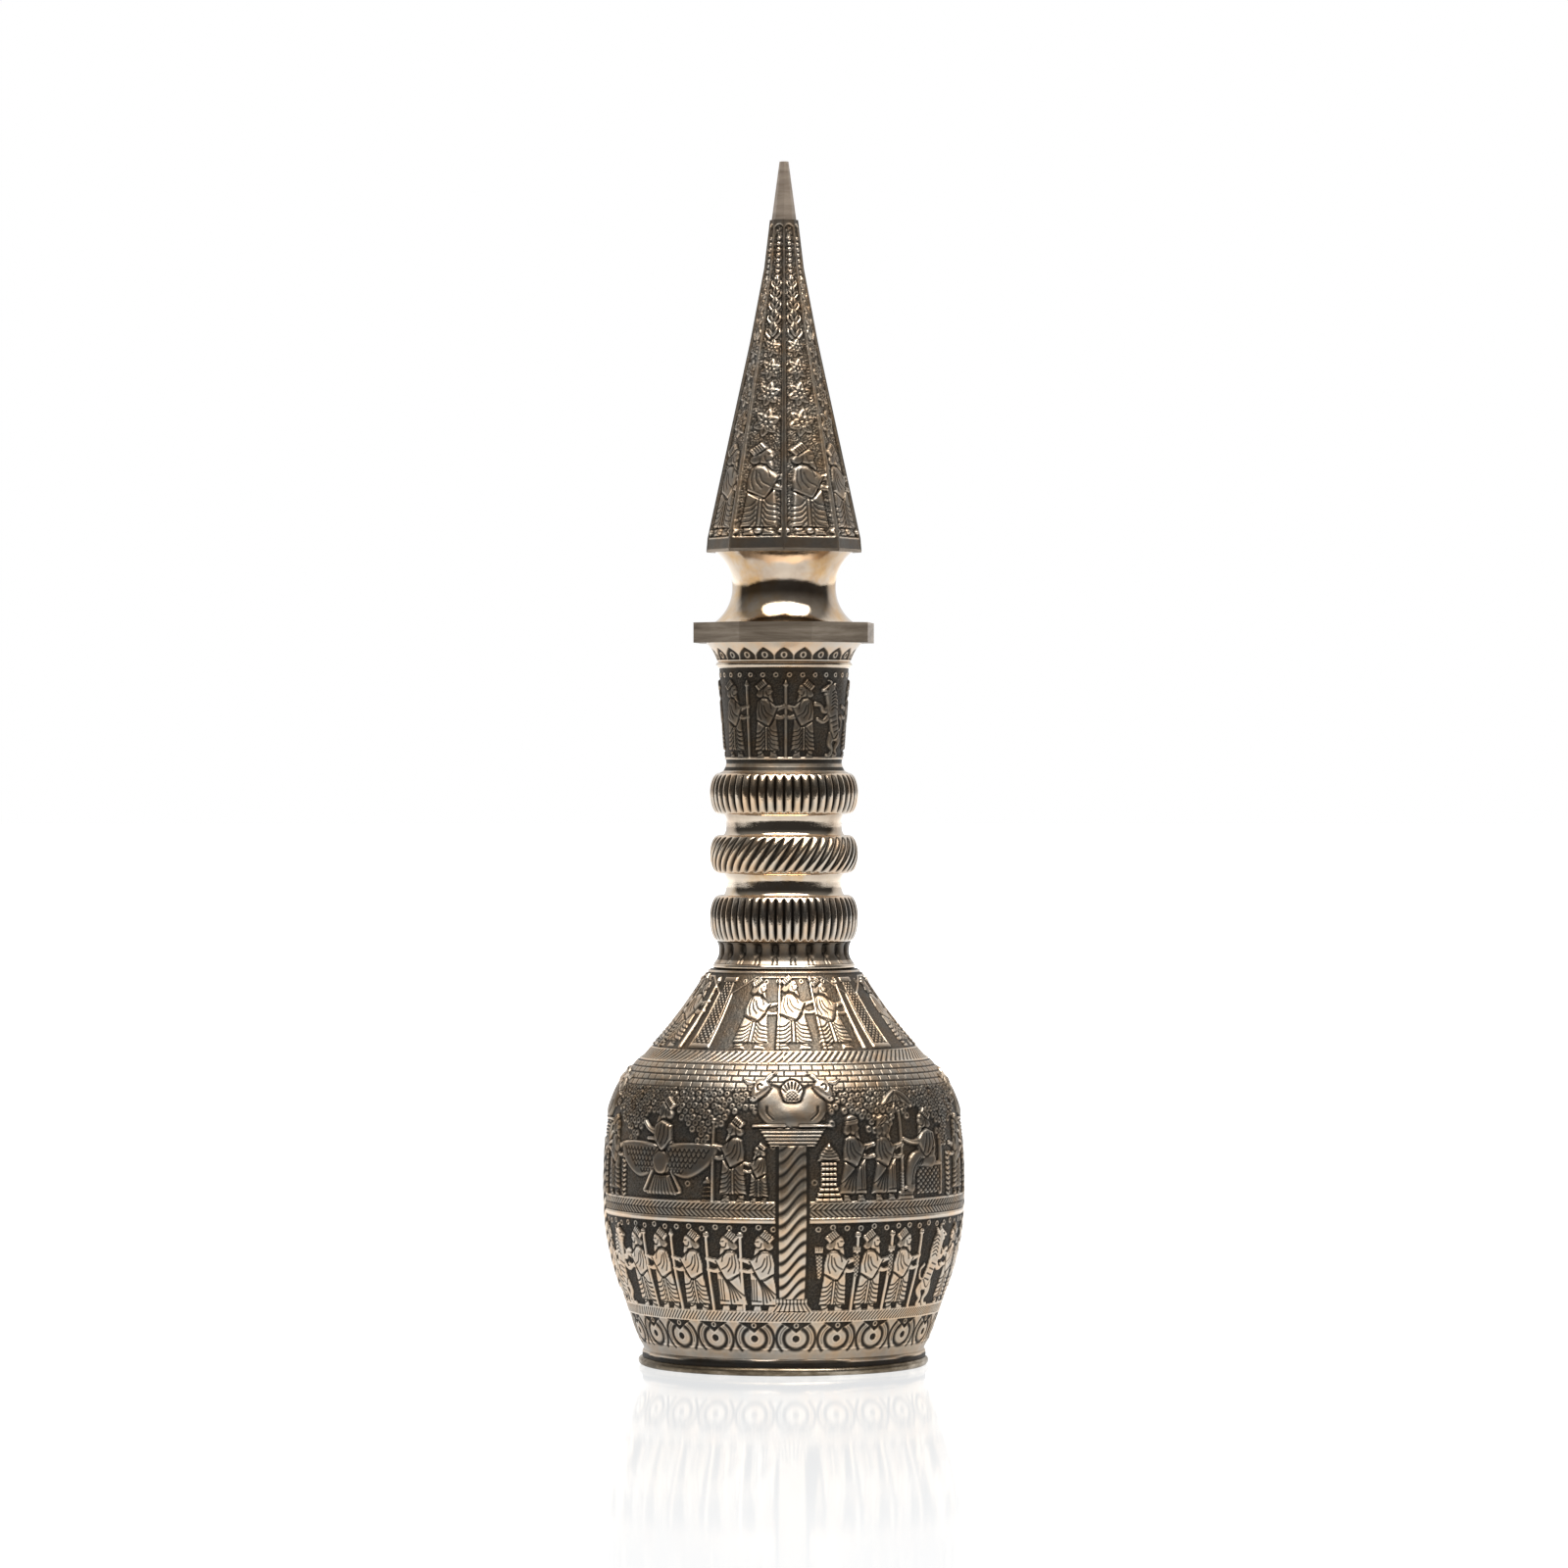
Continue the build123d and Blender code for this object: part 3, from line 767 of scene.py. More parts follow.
def winged_figure(pen):
    """Robed figure rising from a feathered disc with spread wings; one unit is its height."""
    for side in (-1, 1):
        wing = [(0.07, 0.49), (0.36, 0.53), (0.64, 0.51), (0.63, 0.38), (0.50, 0.25), (0.30, 0.17),
                (0.10, 0.26)]
        pen.shape(mirrored(wing, side), 0.9, pen.tone * 0.8, smooth=True)
        for row in range(5):
            y = 0.465 - 0.052 * row
            reach = 0.60 - 0.055 * row - 0.02 * row * row / 4
            for k in range(9 - row):
                x = 0.10 + (reach - 0.10) * (k + 0.5 * (row % 2)) / (9 - row)
                pen.groove(mirrored([(x - 0.03, y), (x, y - 0.034), (x + 0.03, y)], side), 0.36, 0.24)
        pen.ridge(mirrored([(0.07, 0.49), (0.36, 0.52), (0.64, 0.505)], side), 0.5, 0.15)
        ribbon = mirrored([(0.13, 0.24), (0.20, 0.12), (0.24, 0.04), (0.19, 0.02)], side)
        pen.limb(ribbon, [0.03, 0.025, 0.035, 0.02], 0.8, edge=0.35)
    pen.shape(block(0.10, 0.20, 0.0, 0.20), 1.0)         # tail feathers, narrow above and wide below
    for k in range(8):
        x = (k - 3.5) / 3.5
        pen.groove([(x * 0.09, 0.19), (x * 0.17, 0.01)], 0.4, 0.26)
    pen.disc(0, 0.32, 0.125, 1.2, edge=0.6)
    pen.groove([(-0.10, 0.30), (-0.06, 0.225), (0.0, 0.205), (0.06, 0.225), (0.10, 0.30)], 0.42, 0.3)
    pen.shape([(-0.11, 0.70), (-0.14, 0.52), (0.0, 0.42), (0.12, 0.55), (0.11, 0.70), (0.02, 0.75)], 1.3)
    pen.groove([(-0.13, 0.55), (0.0, 0.44), (0.12, 0.60)], 0.45, 0.34)
    chest_folds(pen, [(-0.08, 0.70), (-0.09, 0.60), (-0.06, 0.52)], (0.09, 0.12, 0.12))
    pen.limb([(0.10, 0.62), (0.20, 0.66), (0.27, 0.72)], [0.06, 0.05, 0.05], 1.1)
    pen.limb([(0.10, 0.56), (0.20, 0.56)], [0.05, 0.045], 1.0)
    crowned_head(pen)


def enthroned_figure(pen):
    """Robed figure on a latticed throne, feet on a stool, holding a long staff; one unit is its height."""
    pen.limb([(-0.30, 0.62), (-0.27, 0.05)], [0.05, 0.05], 0.9)
    seat = [(-0.26, 0.36), (0.14, 0.36), (0.14, 0.05), (-0.26, 0.05)]
    pen.shape(seat, 0.75)
    pen.cross_hatch(seat, 1.5, 42, 0.45, 0.26)
    pen.shape([(-0.30, 0.40), (0.18, 0.40), (0.18, 0.34), (-0.30, 0.34)], 1.1)
    pen.shape([(0.20, 0.0), (0.22, 0.09), (0.42, 0.09), (0.44, 0.0)], 0.9)
    pen.groove([(0.22, 0.05), (0.42, 0.05)], 0.34, 0.22)
    leg = [(-0.08, 0.42), (0.16, 0.43), (0.24, 0.28), (0.25, 0.12)]
    pen.limb(leg, [0.20, 0.17, 0.13, 0.12], 1.15, edge=0.7)
    for k in range(4):                                   # folds over the knee
        pen.groove([(-0.10 + 0.07 * k, 0.50 - 0.02 * k), (0.06 + 0.05 * k, 0.42 - 0.03 * k),
                    (0.19 + 0.02 * k, 0.17)], 0.4, 0.26)
    pen.shape([(0.18, 0.12), (0.20, 0.18), (0.34, 0.14), (0.35, 0.10)], 1.0)
    pen.shape([(-0.15, 0.72), (-0.18, 0.56), (-0.14, 0.42), (0.08, 0.42), (0.14, 0.62), (0.06, 0.72),
               (-0.04, 0.76)], 1.3)
    pen.groove([(-0.14, 0.55), (0.02, 0.45), (0.14, 0.62)], 0.45, 0.32)
    chest_folds(pen, [(-0.10, 0.70), (-0.12, 0.60), (-0.08, 0.50)], (0.09, 0.13, 0.13))
    pen.limb([(0.10, 0.62), (0.22, 0.62), (0.34, 0.66)], [0.08, 0.055, 0.05], 1.1)
    pen.limb([(0.37, 0.02), (0.37, 0.96)], [0.03, 0.03], 1.0, edge=0.35)
    crowned_head(pen)


def stepped_tower(pen, courses=8):
    """Tapering tower of brick courses under a ribbed beehive dome; one unit is its height."""
    for k in range(courses):
        y = 0.70 * k / courses
        half = 0.24 - 0.10 * min(k, 3) / 3
        pen.shape(block(half, y, y + 0.062), 0.9, edge=0.35)
        for x in (-0.5, 0.0, 0.5):
            pen.groove([(x * half, y + 0.005), (x * half, y + 0.06)], 0.3, 0.16)
    dome = [(-0.20, 0.70), (-0.17, 0.80), (-0.08, 0.92)]
    pen.shape(dome + [(0.0, 1.0)] + mirrored(dome[::-1], -1), 1.1)
    for k in range(5):
        y = 0.72 + 0.05 * k
        half = 0.18 * (1 - 0.17 * k)
        pen.groove([(-half, y + 0.012), (0, y - 0.012), (half, y + 0.012)], 0.34, 0.24)


def curl_post(pen):
    """Upright row of stacked curls; one unit is its height."""
    count = 9
    for k in range(count):
        y = (k + 0.5) / count
        pen.limb([(-0.07, y + 0.025), (0, y - 0.02), (0.07, y + 0.025)], [0.045, 0.06, 0.045], 0.9, edge=0.4)


def parasol_bearer(pen):
    """Attendant who holds a ribbed parasol over the figure in front."""
    attendant(pen, "tall")
    pen.limb([(-0.02, 0.6), (0.22, 1.16)], [0.03, 0.03], 0.8, edge=0.35)
    shade = [(0.0, 1.10), (0.12, 1.24), (0.28, 1.30), (0.44, 1.20), (0.48, 1.06), (0.26, 1.15)]
    pen.shape(shade, 1.1, smooth=True)
    for k in range(5):
        pen.groove([(0.24, 1.26), (0.04 + 0.1 * k, 1.10)], 0.34, 0.22)


def palm(pen):
    """Feathery tree with drooping fronds; one unit is its height."""
    pen.limb([(0, 0), (0.01, 0.62)], [0.07, 0.045], 0.9, edge=0.4)
    for k in range(9):
        a = radians(-25 + 230 * k / 8)
        tip = (0.34 * cos(a), 0.68 + 0.30 * sin(a) - 0.06)
        pen.limb([(0, 0.62), (0.2 * cos(a), 0.66 + 0.24 * sin(a)), tip], [0.05, 0.055, 0.02], 0.85, edge=0.35)
    for k in range(8):
        pen.groove([(-0.05, 0.06 + 0.07 * k), (0.05, 0.09 + 0.07 * k)], 0.34, 0.22)


def draw_audience(pen_at):
    """Bay to the right of a column: tower, attendants with a parasol, and the enthroned figure."""
    stepped_tower(pen_at(11.6, 19.0))
    attendant(pen_at(19.8, 28.5))
    parasol_bearer(pen_at(31.0, 28.0))
    curl_post(pen_at(37.8, 9.0))
    enthroned_figure(pen_at(48.5, 30.0, -1))
    curl_post(pen_at(62.0, 15.0))
    guard(pen_at(70.5, 27.0, -1), with_staff=False)
    palm(pen_at(80.0, 26.0))


def draw_blessing(pen_at):
    """Bay to the left of a column: winged figure, altar and guards."""
    guard(pen_at(-10.6, 19.5, -1), with_staff=False)
    guard(pen_at(-18.8, 28.0, -1), head="knob")
    stepped_tower(pen_at(-27.6, 8.0), courses=4)
    winged_figure(pen_at(-45.0, 32.5, -1, 1.5))
    curl_post(pen_at(-64.5, 14.0))
    guard(pen_at(-72.0, 27.0, 1), with_staff=False)
    palm(pen_at(-80.5, 26.0))


def draw_court_frieze(canvas):
    """Scenes between the columns of the main frieze."""
    low = bowl_wall.up_to(COURT_Z) + 0.3
    draw_swags(canvas, bowl_wall.up_to(69.0), bowl_wall.up_to(BRICKS_Z) + 0.8)
    for start in PAIR_STARTS:

        def pen_at(turn, size, facing=1, raised=0.0):
            return Pen(canvas, turn_to_x(canvas, start + turn), low + raised, size, facing, lift=1.0,
                       tone=0.34, stretch=BOWL_R / 59.0, swell=2.0)

        draw_audience(pen_at)
        draw_blessing(pen_at)
    scatter_punches(canvas, SEED + 1, 220, low + 3, 17, clear=1.3, radius=0.85, tone=0.6, bare=0.1)


def draw_columns(canvas):
    """Columns that cross the guards and the chevrons, each on cleared ground."""
    low = bowl_wall.up_to(GUARDS_Z)
    shaft_top = bowl_wall.up_to(75.6)
    for bay in range(BAYS):
        x = turn_to_x(canvas, COLUMN_TURN + bay * 360 / BAYS)
        pen = Pen(canvas, x, 0.0, 1.0, lift=0.55, tone=0.85, stretch=BOWL_R / 57.5)
        index, gx, _ = pen.reach(pen.placed(block(6.5, low, shaft_top)), 0.0)
        aside = np.clip((np.abs(gx - x) - 5.2) / 0.4, 0, 1)
        canvas.relief[index] *= aside
        canvas.tone[index] *= aside
        column_shaft(pen, low, shaft_top, 4.4)
        abacus(pen, shaft_top)
        bull_capital(Pen(canvas, x, shaft_top + 6.0, 19.5, lift=0.55, tone=0.78, stretch=BOWL_R / 55.0))


def draw_bowl():
    """The whole bowl on one canvas, so that columns cross its bands."""
    canvas = Canvas(2 * pi * BOWL_R, bowl_wall.length, GRID, tone=0.05)
    up = bowl_wall.up_to
    canvas.band(up(COURT_Z), up(BRICKS_Z), 0.0, 0.16)
    # painted shade: the lowest strip of the wall, sunk into the crevice above the base plate, is darkened
    # almost to black
    canvas.band(0, up(FOOT_Z + 1.6), -0.7, 0.02)
    draw_scales(canvas)
    draw_guards_frieze(canvas)
    draw_court_frieze(canvas)
    draw_bricks(canvas, up(BRICKS_Z), up(EDGE_Z))
    draw_rope_band(canvas, up(ROPE_Z), up(GUARDS_Z))
    draw_chevrons(canvas, up(CHEVRON_Z), up(COURT_Z))
    canvas.rim(up(RIM_Z) + 0.6, 1.9, 0.62, 1.0)
    draw_columns(canvas)
    canvas.matted(up(SCALES_Z), up(BRICKS_Z), 0.1)
    return canvas


# Shoulder cone, neck tube and the fluted rings between them
SHOULDER_R = 36.0
SHOULDER_TURN = 4.0       # direction of the middle of the front panel

SHOULDER_FOOT, SHOULDER_TOP = span("shoulder")
NECK_R = 20.4
NECK_FOOT, NECK_TOP = span("neck_tube")

shoulder_wall = Wall([(48.3, SHOULDER_FOOT), (46.6, 102.6), (45.0, 104.3), (36.2, 114.6), (29.6, 123.7),
                      (24.5, SHOULDER_TOP)])
neck_wall = Wall([(21.4, NECK_FOOT), (20.0, 197.6), (19.25, 199.6), (19.3, 201.5), (20.4, 216.5),
                  (21.5, NECK_TOP)])


def framed_strip(pen, low, high, half):
    """Cross-hatched upright with a capital and a foot; millimetres."""
    pen.shape(block(half, low, high, half * 0.8), 0.8, 0.5)
    pen.cross_hatch(block(half - 0.5, low + 0.8, high - 0.8, half * 0.8 - 0.5), 1.3, 50, 0.42, 0.25)
    for y in (low, high):
        pen.shape(block(half * 1.25, y - 0.9, y + 0.9), 1.1)


def draw_shoulder():
    """Four arched panels of spear carriers on the shoulder cone, over a hatched band."""
    canvas = Canvas(2 * pi * SHOULDER_R, shoulder_wall.length, GRID * 0.92, tone=0.30)
    up = shoulder_wall.up_to
    low, high = up(106.2), up(130.4)
    panel = canvas.width / BAYS
    for bay in range(BAYS):
        middle = turn_to_x(canvas, SHOULDER_TURN + 90 * bay)
        for offset, size in ((-20.0, 29.0), (0.5, 30.0), (20.5, 29.0)):
            place = (middle + offset / 360 * canvas.width, low + 0.4, size)
            guard(Pen(canvas, *place, lift=0.5, tone=0.74, stretch=1.12, swell=1.4), head="spear")
            staff(Pen(canvas, *place, lift=0.8, tone=0.95, stretch=1.12), "spear")
        post = Pen(canvas, middle + panel / 2, 0.0, 1.0, lift=0.4, tone=0.75, stretch=0.86)
        framed_strip(post, low + 1.4, high - 2.2, 3.4)
        arch = Pen(canvas, middle, 0.0, 1.0, lift=0.4, tone=0.8)
        side = panel / 2 - 3.4
        shoulder_y, top_y, narrow = high - 7.5, high - 1.2, side * 0.62
        bars = [((hand * side, low + 1.0), (hand * side, shoulder_y)) for hand in (-1, 1)]
        bars += [((hand * side, shoulder_y), (hand * narrow, top_y)) for hand in (-1, 1)]
        bars += [((-narrow, top_y), (narrow, top_y))]
        for bar in bars:
            arch.limb(bar, [0.7, 0.7], 0.8, edge=0.35)
        for k in range(9):
            ring_punch(canvas, middle + (k - 4) * panel / 11, high - 2.8 + 0.3 * sin(3 * k), 0.8)
    draw_rope_band(canvas, up(101.9), up(105.6), pitch=1.8, lean=-0.7, tone=0.75)
    canvas.rim(high + 0.6, 0.9, 0.4, 0.9)
    canvas.matted(low, high, 0.08)
    return canvas


def draw_neck():
    """Guards, some with spears, and two beasts on the neck tube."""
    canvas = Canvas(2 * pi * NECK_R, neck_wall.length, GRID * 0.88, tone=0.10)
    up = neck_wall.up_to
    low, high = up(202.0), up(230.4)
    for turn, facing in ((-54, 1), (-17, 1), (19, -1), (86, -1), (124, 1), (160, 1), (-92, -1), (-162, -1)):
        pen = Pen(canvas, turn_to_x(canvas, turn), low, 26.0, facing, lift=0.65, tone=0.27, swell=1.7)
        guard(pen, head="spear", with_staff=facing > 0)
    for turn in (48, -126):
        rampant_beast(Pen(canvas, turn_to_x(canvas, turn), low, 25.5, -1, lift=0.65, tone=0.28, swell=1.7))
    count = 30
    for k in range(count):
        ring_punch(canvas, (k + 0.4) / count * canvas.width, high - 1.2, 0.72)
    canvas.rim(low - 0.5, 0.8, 0.35, 0.85)
    canvas.band(0, up(199.8), 0.0, 0.85)
    canvas.matted(low, high, 0.08)
    return canvas


# ---------------------------------------------------------------- materials


class Nodes:
    """Short way to write a material's nodes."""

    def __init__(self, material):
        material.use_nodes = True
        self.tree = material.node_tree
        self.tree.nodes.clear()

    def add(self, kind, inputs=None, **settings):
        node = self.tree.nodes.new(kind)
        for key, value in settings.items():
            setattr(node, key, value)
        for key, value in (inputs or {}).items():
            if isinstance(value, bpy.types.NodeSocket):
                self.tree.links.new(value, node.inputs[key])
            else:
                node.inputs[key].default_value = value
        return node

    def noise(self, scale, detail, roughness=0.55, stretch=(1, 1, 1), distortion=0.0):
        """Noise in the piece's own metres; scale is in features per metre."""
        place = self.add("ShaderNodeTexCoord")
        sized = self.add("ShaderNodeMapping", {"Vector": place.outputs["Object"], "Scale": stretch})
        made = self.add("ShaderNodeTexNoise", {
            "Vector": sized.outputs["Vector"], "Scale": scale, "Detail": detail, "Roughness": roughness,
            "Distortion": distortion})
        return made.outputs["Fac"]

    def ramp(self, fac, stops):
        """Colour ramp; stops are (position, colour or grey)."""
        node = self.add("ShaderNodeValToRGB", {"Fac": fac})
        ramp = node.color_ramp
        while len(ramp.elements) < len(stops):
            ramp.elements.new(0.5)
        for element, (position, colour) in zip(ramp.elements, stops):
            element.position = position
            element.color = (*colour, 1) if hasattr(colour, "__len__") else (colour, colour, colour, 1)
        return node.outputs["Color"]

    def sum(self, a, b, clamp=False):
        return self.add("ShaderNodeMath", {0: a, 1: b}, operation="ADD", use_clamp=clamp).outputs[0]

    def scaled(self, value, factor, offset):
        """value * factor + offset."""
        inputs = {0: value, 1: factor, 2: offset}
        return self.add("ShaderNodeMath", inputs, operation="MULTIPLY_ADD").outputs[0]

    def tinted(self, fac, a, b, mode="MIX"):
        node = self.add("ShaderNodeMix", {"Factor": fac, "A": a, "B": b}, data_type="RGBA", blend_type=mode)
        return node.outputs["Result"]

    def bump(self, height, distance, strength):
        return self.add("ShaderNodeBump", {"Height": height, "Distance": distance, "Strength": strength})

    def metal(self, colour, roughness, fine, broad=None):
        """Finishes the material; the fine bump lies over the broad one."""
        if broad:
            self.tree.links.new(broad.outputs["Normal"], fine.inputs["Normal"])
        shader = self.add("ShaderNodeBsdfPrincipled", {
            "Base Color": colour, "Roughness": roughness, "Metallic": 1.0, "Normal": fine.outputs["Normal"]})
        self.add("ShaderNodeOutputMaterial", {"Surface": shader.outputs["BSDF"]})


BLACKENED = (0.042, 0.038, 0.034)
TARNISHED = (0.145, 0.128, 0.110)
WORN = (0.345, 0.300, 0.252)
RUBBED = (0.80, 0.70, 0.60)
WHITE = (1.0, 1.0, 1.0)   # leaves the colour below it as it is


def chased_silver(name, gloss):
    """Silver with blackened hollows; the polish attribute says how far it has been rubbed bright."""
    material = bpy.data.materials.new(name)
    n = Nodes(material)
    polish = n.add("ShaderNodeAttribute", attribute_name="polish").outputs["Fac"]
    cloud = n.noise(55, 4)
    fine = n.noise(900, 2)
    worn = n.sum(n.scaled(cloud, 0.34, -0.17), polish, clamp=True)
    silver = n.ramp(worn, [(0.0, BLACKENED), (0.32, TARNISHED), (0.62, WORN), (0.95, RUBBED)])
    warm = n.ramp(n.noise(28, 3), [(0.40, (1.0, 0.985, 0.96)), (0.66, (1.0, 0.90, 0.76))])
    blotch = n.ramp(n.noise(170, 3, 0.6),
                    [(0.34, (0.92, 0.98, 1.04)), (0.47, WHITE), (0.64, (1.04, 0.93, 0.82))])
    colour = n.tinted(1.0, n.tinted(1.0, silver, warm, "MULTIPLY"), blotch, "MULTIPLY")
    rough = n.scaled(fine, 0.16, -0.08)
    rough = n.sum(rough, n.ramp(worn, [(0.0, 0.58), (0.45, gloss + 0.14), (0.95, gloss)]))
    grain = n.bump(n.noise(1500, 3), 0.00006, 0.7)
    dents = n.bump(n.noise(160, 2), 0.0003, 0.6)
    n.metal(colour, rough, grain, dents)
    return material


def polished_silver(name):
    """Bright plain silver with smudges, fine scratches, a soft hammered unevenness and golden patches of
    painted reflection.
    """
    material = bpy.data.materials.new(name)
    n = Nodes(material)
    cloud = n.noise(38, 5)
    colour = n.ramp(cloud,
                    [(0.30, (0.42, 0.31, 0.22)), (0.44, (0.66, 0.54, 0.42)), (0.64, (0.84, 0.72, 0.58))])
    # painted reflection: warm golden patches stand in for glints mirrored in the polish
    golden_painted_reflection = n.ramp(n.noise(62, 4, 0.6), [(0.50, WHITE), (0.66, (1.0, 0.80, 0.52))])
    colour = n.tinted(1.0, colour, golden_painted_reflection, "MULTIPLY")
    scratches = n.noise(420, 5, 0.7, stretch=(1, 1, 14))
    rough = n.scaled(scratches, 0.10, 0.02)
    uneven = n.bump(n.noise(110, 2), 0.00025, 0.6)
    fine = n.bump(scratches, 0.00003, 0.5)
    n.metal(colour, rough, fine, uneven)
    return material


def brushed_silver(name, dark, middle, pale):
    """Plain silver brushed round the object, with streaks between three colours."""
    material = bpy.data.materials.new(name)
    n = Nodes(material)
    streaks = n.noise(26, 6, 0.65, stretch=(1, 1, 9), distortion=0.4)
    colour = n.ramp(streaks, [(0.28, dark), (0.50, middle), (0.72, pale)])
    lines = n.noise(700, 4, 0.6, stretch=(1, 1, 10))
    rough = n.scaled(lines, 0.3, 0.30)
    n.metal(colour, rough, n.bump(lines, 0.00005, 0.6))
    return material


def foot_silver(name):
    """Warm, scuffed silver of the base plate."""
    material = bpy.data.materials.new(name)
    n = Nodes(material)
    scuffs = n.noise(60, 6, 0.7, stretch=(1, 1, 3))
    colour = n.ramp(scuffs,
                    [(0.30, (0.06, 0.045, 0.03)), (0.5, (0.23, 0.18, 0.12)), (0.68, (0.52, 0.44, 0.34))])
    rough = n.ramp(scuffs, [(0.3, 0.55), (0.7, 0.25)])
    n.metal(colour, rough, n.bump(n.noise(240, 3), 0.0002, 0.7))
    return material


# ---------------------------------------------------------------- meshes


def add_piece(name, grid, polish, material, body, nodes, crease):
    """Makes one object of the visual model from rows of points, in metres, that wrap both ways."""
    points, faces = grid.reshape(-1, 3), closed_grid(*grid.shape[:2])
    mesh = bpy.data.meshes.new(name)
    mesh.vertices.add(len(points))
    mesh.vertices.foreach_set("co", np.asarray(points, np.float32).ravel())
    mesh.loops.add(faces.size)
    mesh.loops.foreach_set("vertex_index", faces.astype(np.int32).ravel())
    mesh.polygons.add(len(faces))
    mesh.polygons.foreach_set("loop_start", np.arange(0, faces.size, faces.shape[1], dtype=np.int32))
    mesh.update(calc_edges=True)
    mesh.validate()
    mesh.polygons.foreach_set("use_smooth", np.ones(len(mesh.polygons), bool))
    layer = mesh.attributes.new("polish", "FLOAT", "POINT")
    layer.data.foreach_set("value", np.asarray(polish, np.float32).ravel())
    mesh.set_sharp_from_angle(angle=radians(crease))
    mesh.materials.append(material)
    piece = bpy.data.objects.new(name, mesh)
    bpy.context.scene.collection.objects.link(piece)
    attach(piece, body)
    if nodes:
        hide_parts(*nodes)


def closed_grid(rows, columns):
    """Quads over rows x columns of points that wrap both ways."""
    index = np.arange(rows * columns).reshape(rows, columns)
    above, right = np.roll(index, -1, axis=0), np.roll(index, -1, axis=1)
    corner = np.roll(above, -1, axis=1)
    return np.stack([index, right, corner, above], axis=-1).reshape(-1, 4)


def turned(r, z, turn):
    """Points in metres round the axis; turn is 0 at the front and grows to the right."""
    r, z, turn = np.broadcast_arrays(r, z, turn)
    return np.stack([r * np.sin(turn), -r * np.cos(turn), z], axis=-1) * MM


def wall_shell(name, node, canvas, wall, tone, low, high):
    """Closed ring of a chased wall between two lengths up it, with a plain inside face."""
    rows = np.arange(round(low / canvas.dy), round(high / canvas.dy) + 1)
    s = rows * canvas.dy
    turn = np.arange(canvas.columns) / canvas.columns * 2 * pi
    r, z, nr, nz = (column[:, None] for column in wall.at(s))
    relief = canvas.relief[rows]
    outside = turned(r + nr * relief, z + nz * relief, turn)
    back = np.linspace(s[-1], s[0], INNER_ROWS)
    r, z, nr, nz = (column[:, None] for column in wall.at(back))
    inside = turned(r - nr * SHEET, z - nz * SHEET, turn)
    points = np.concatenate([outside, inside])
    polish = np.concatenate([tone[rows], np.full(inside.shape[:2], 0.15)])
    add_piece(name, points, polish, CHASED, "bottle", [node], crease=62)


def revolved(name, nodes, profile, columns, shape, material, crease=40):
    """Ring of the bottle turned from a closed profile of (radius, height, tone).

    shape(r, z, turn, tone), where there is one, returns them with points moved and tones changed.
    """
    r, z, tone = (np.array(column, float)[:, None] for column in zip(*profile))
    turn = np.arange(columns)[None, :] / columns * 2 * pi
    r, z, turn, tone = np.broadcast_arrays(r, z, turn, tone)
    r, z, turn, tone = shape(r.copy(), z.copy(), turn.copy(), tone.copy()) if shape else (r, z, turn, tone)
    add_piece(name, turned(r, z, turn), tone, material, "bottle", nodes, crease)


def through(points, tone, spans):
    """Profile points on a smooth line."""
    return [(r, z, tone) for r, z in curve(points, spans=spans)]


# ---------------------------------------------------------------- the bottle, bottom to top

CHASED = chased_silver("chased_silver", gloss=0.32)
FLUTED = chased_silver("fluted_silver", gloss=0.15)
POLISHED = polished_silver("polished_silver")
BRUSHED = brushed_silver("brushed_silver", (0.15, 0.115, 0.085), (0.35, 0.285, 0.220), (0.60, 0.50, 0.40))
TIP = brushed_silver("tip_silver", (0.24, 0.19, 0.15), (0.46, 0.38, 0.31), (0.66, 0.57, 0.48))
FOOT = foot_silver("foot_silver")


def make_bowl():
    """Bowl in three zones that share one drawing."""
    canvas = draw_bowl()
    tone = canvas.finished_tone()
    up = bowl_wall.up_to
    cuts = [0.0, up(GUARDS_Z) - 0.2, up(RIM_Z) - 0.6, bowl_wall.length]
    for k, name in enumerate(("bowl_scales", "bowl_lower_frieze", "bowl_main_frieze")):
        wall_shell(name, "bowl", canvas, bowl_wall, tone, cuts[k], cuts[k + 1])


def make_whole_wall(name, node, canvas, wall):
    """One piece from a whole drawing."""
    wall_shell(name, node, canvas, wall, canvas.finished_tone(), 0, wall.length)


def lobes(count, depth, twist, flatness):
    """Shape for a ring of lobes: grooves with rounded ends, cut over nearly its whole height."""
    low, high = 0.04, 0.96

    def shape(r, z, turn, tone):
        rise = (z - z.min()) / (z.max() - z.min())
        lean = twist * (rise - 0.5)
        wave = np.abs(np.sin((turn * count + lean * 2 * pi) / 2)) ** flatness
        middle = np.clip(1 - np.abs(2 * (rise - (low + high) / 2) / (high - low)) ** 6, 0, 1)
        outer = r > r.min() + 0.45 * (r.max() - r.min())
        cut = (1 - wave) * middle * outer
        return r - depth * cut, z, turn, tone * (1 - 0.97 * np.clip(cut * 2.4, 0, 1))

    return shape


def ring_profile(foot, top):
    """Half-round ring on a narrow bore."""
    seam_r, belly_r, inner_r = 21.6, 24.7, 19.4
    middle = (foot + top) / 2
    half = (top - foot) / 2
    side = [(seam_r + (belly_r - seam_r) * cos(a), middle + half * sin(a), 0.97)
            for a in np.radians(np.linspace(-88, 88, 44))]
    return [(inner_r, foot, 0.3)] + side + [(inner_r, top, 0.3)]


def make_rings():
    """Three lobed rings; the middle one's lobes are twisted."""
    for node, count, depth, twist, flatness in (
            ("lower_ring", 53, 1.6, 0.0, 0.50),
            ("middle_ring", 44, 1.4, -2.3, 0.50),
            ("upper_ring", 50, 1.6, 0.0, 0.40)):
        shape = lobes(count, depth, twist, flatness)
        revolved(f"{node}_lobes", [node], ring_profile(*span(node)), count * LOBE_COLUMNS, shape, FLUTED,
                 crease=75)


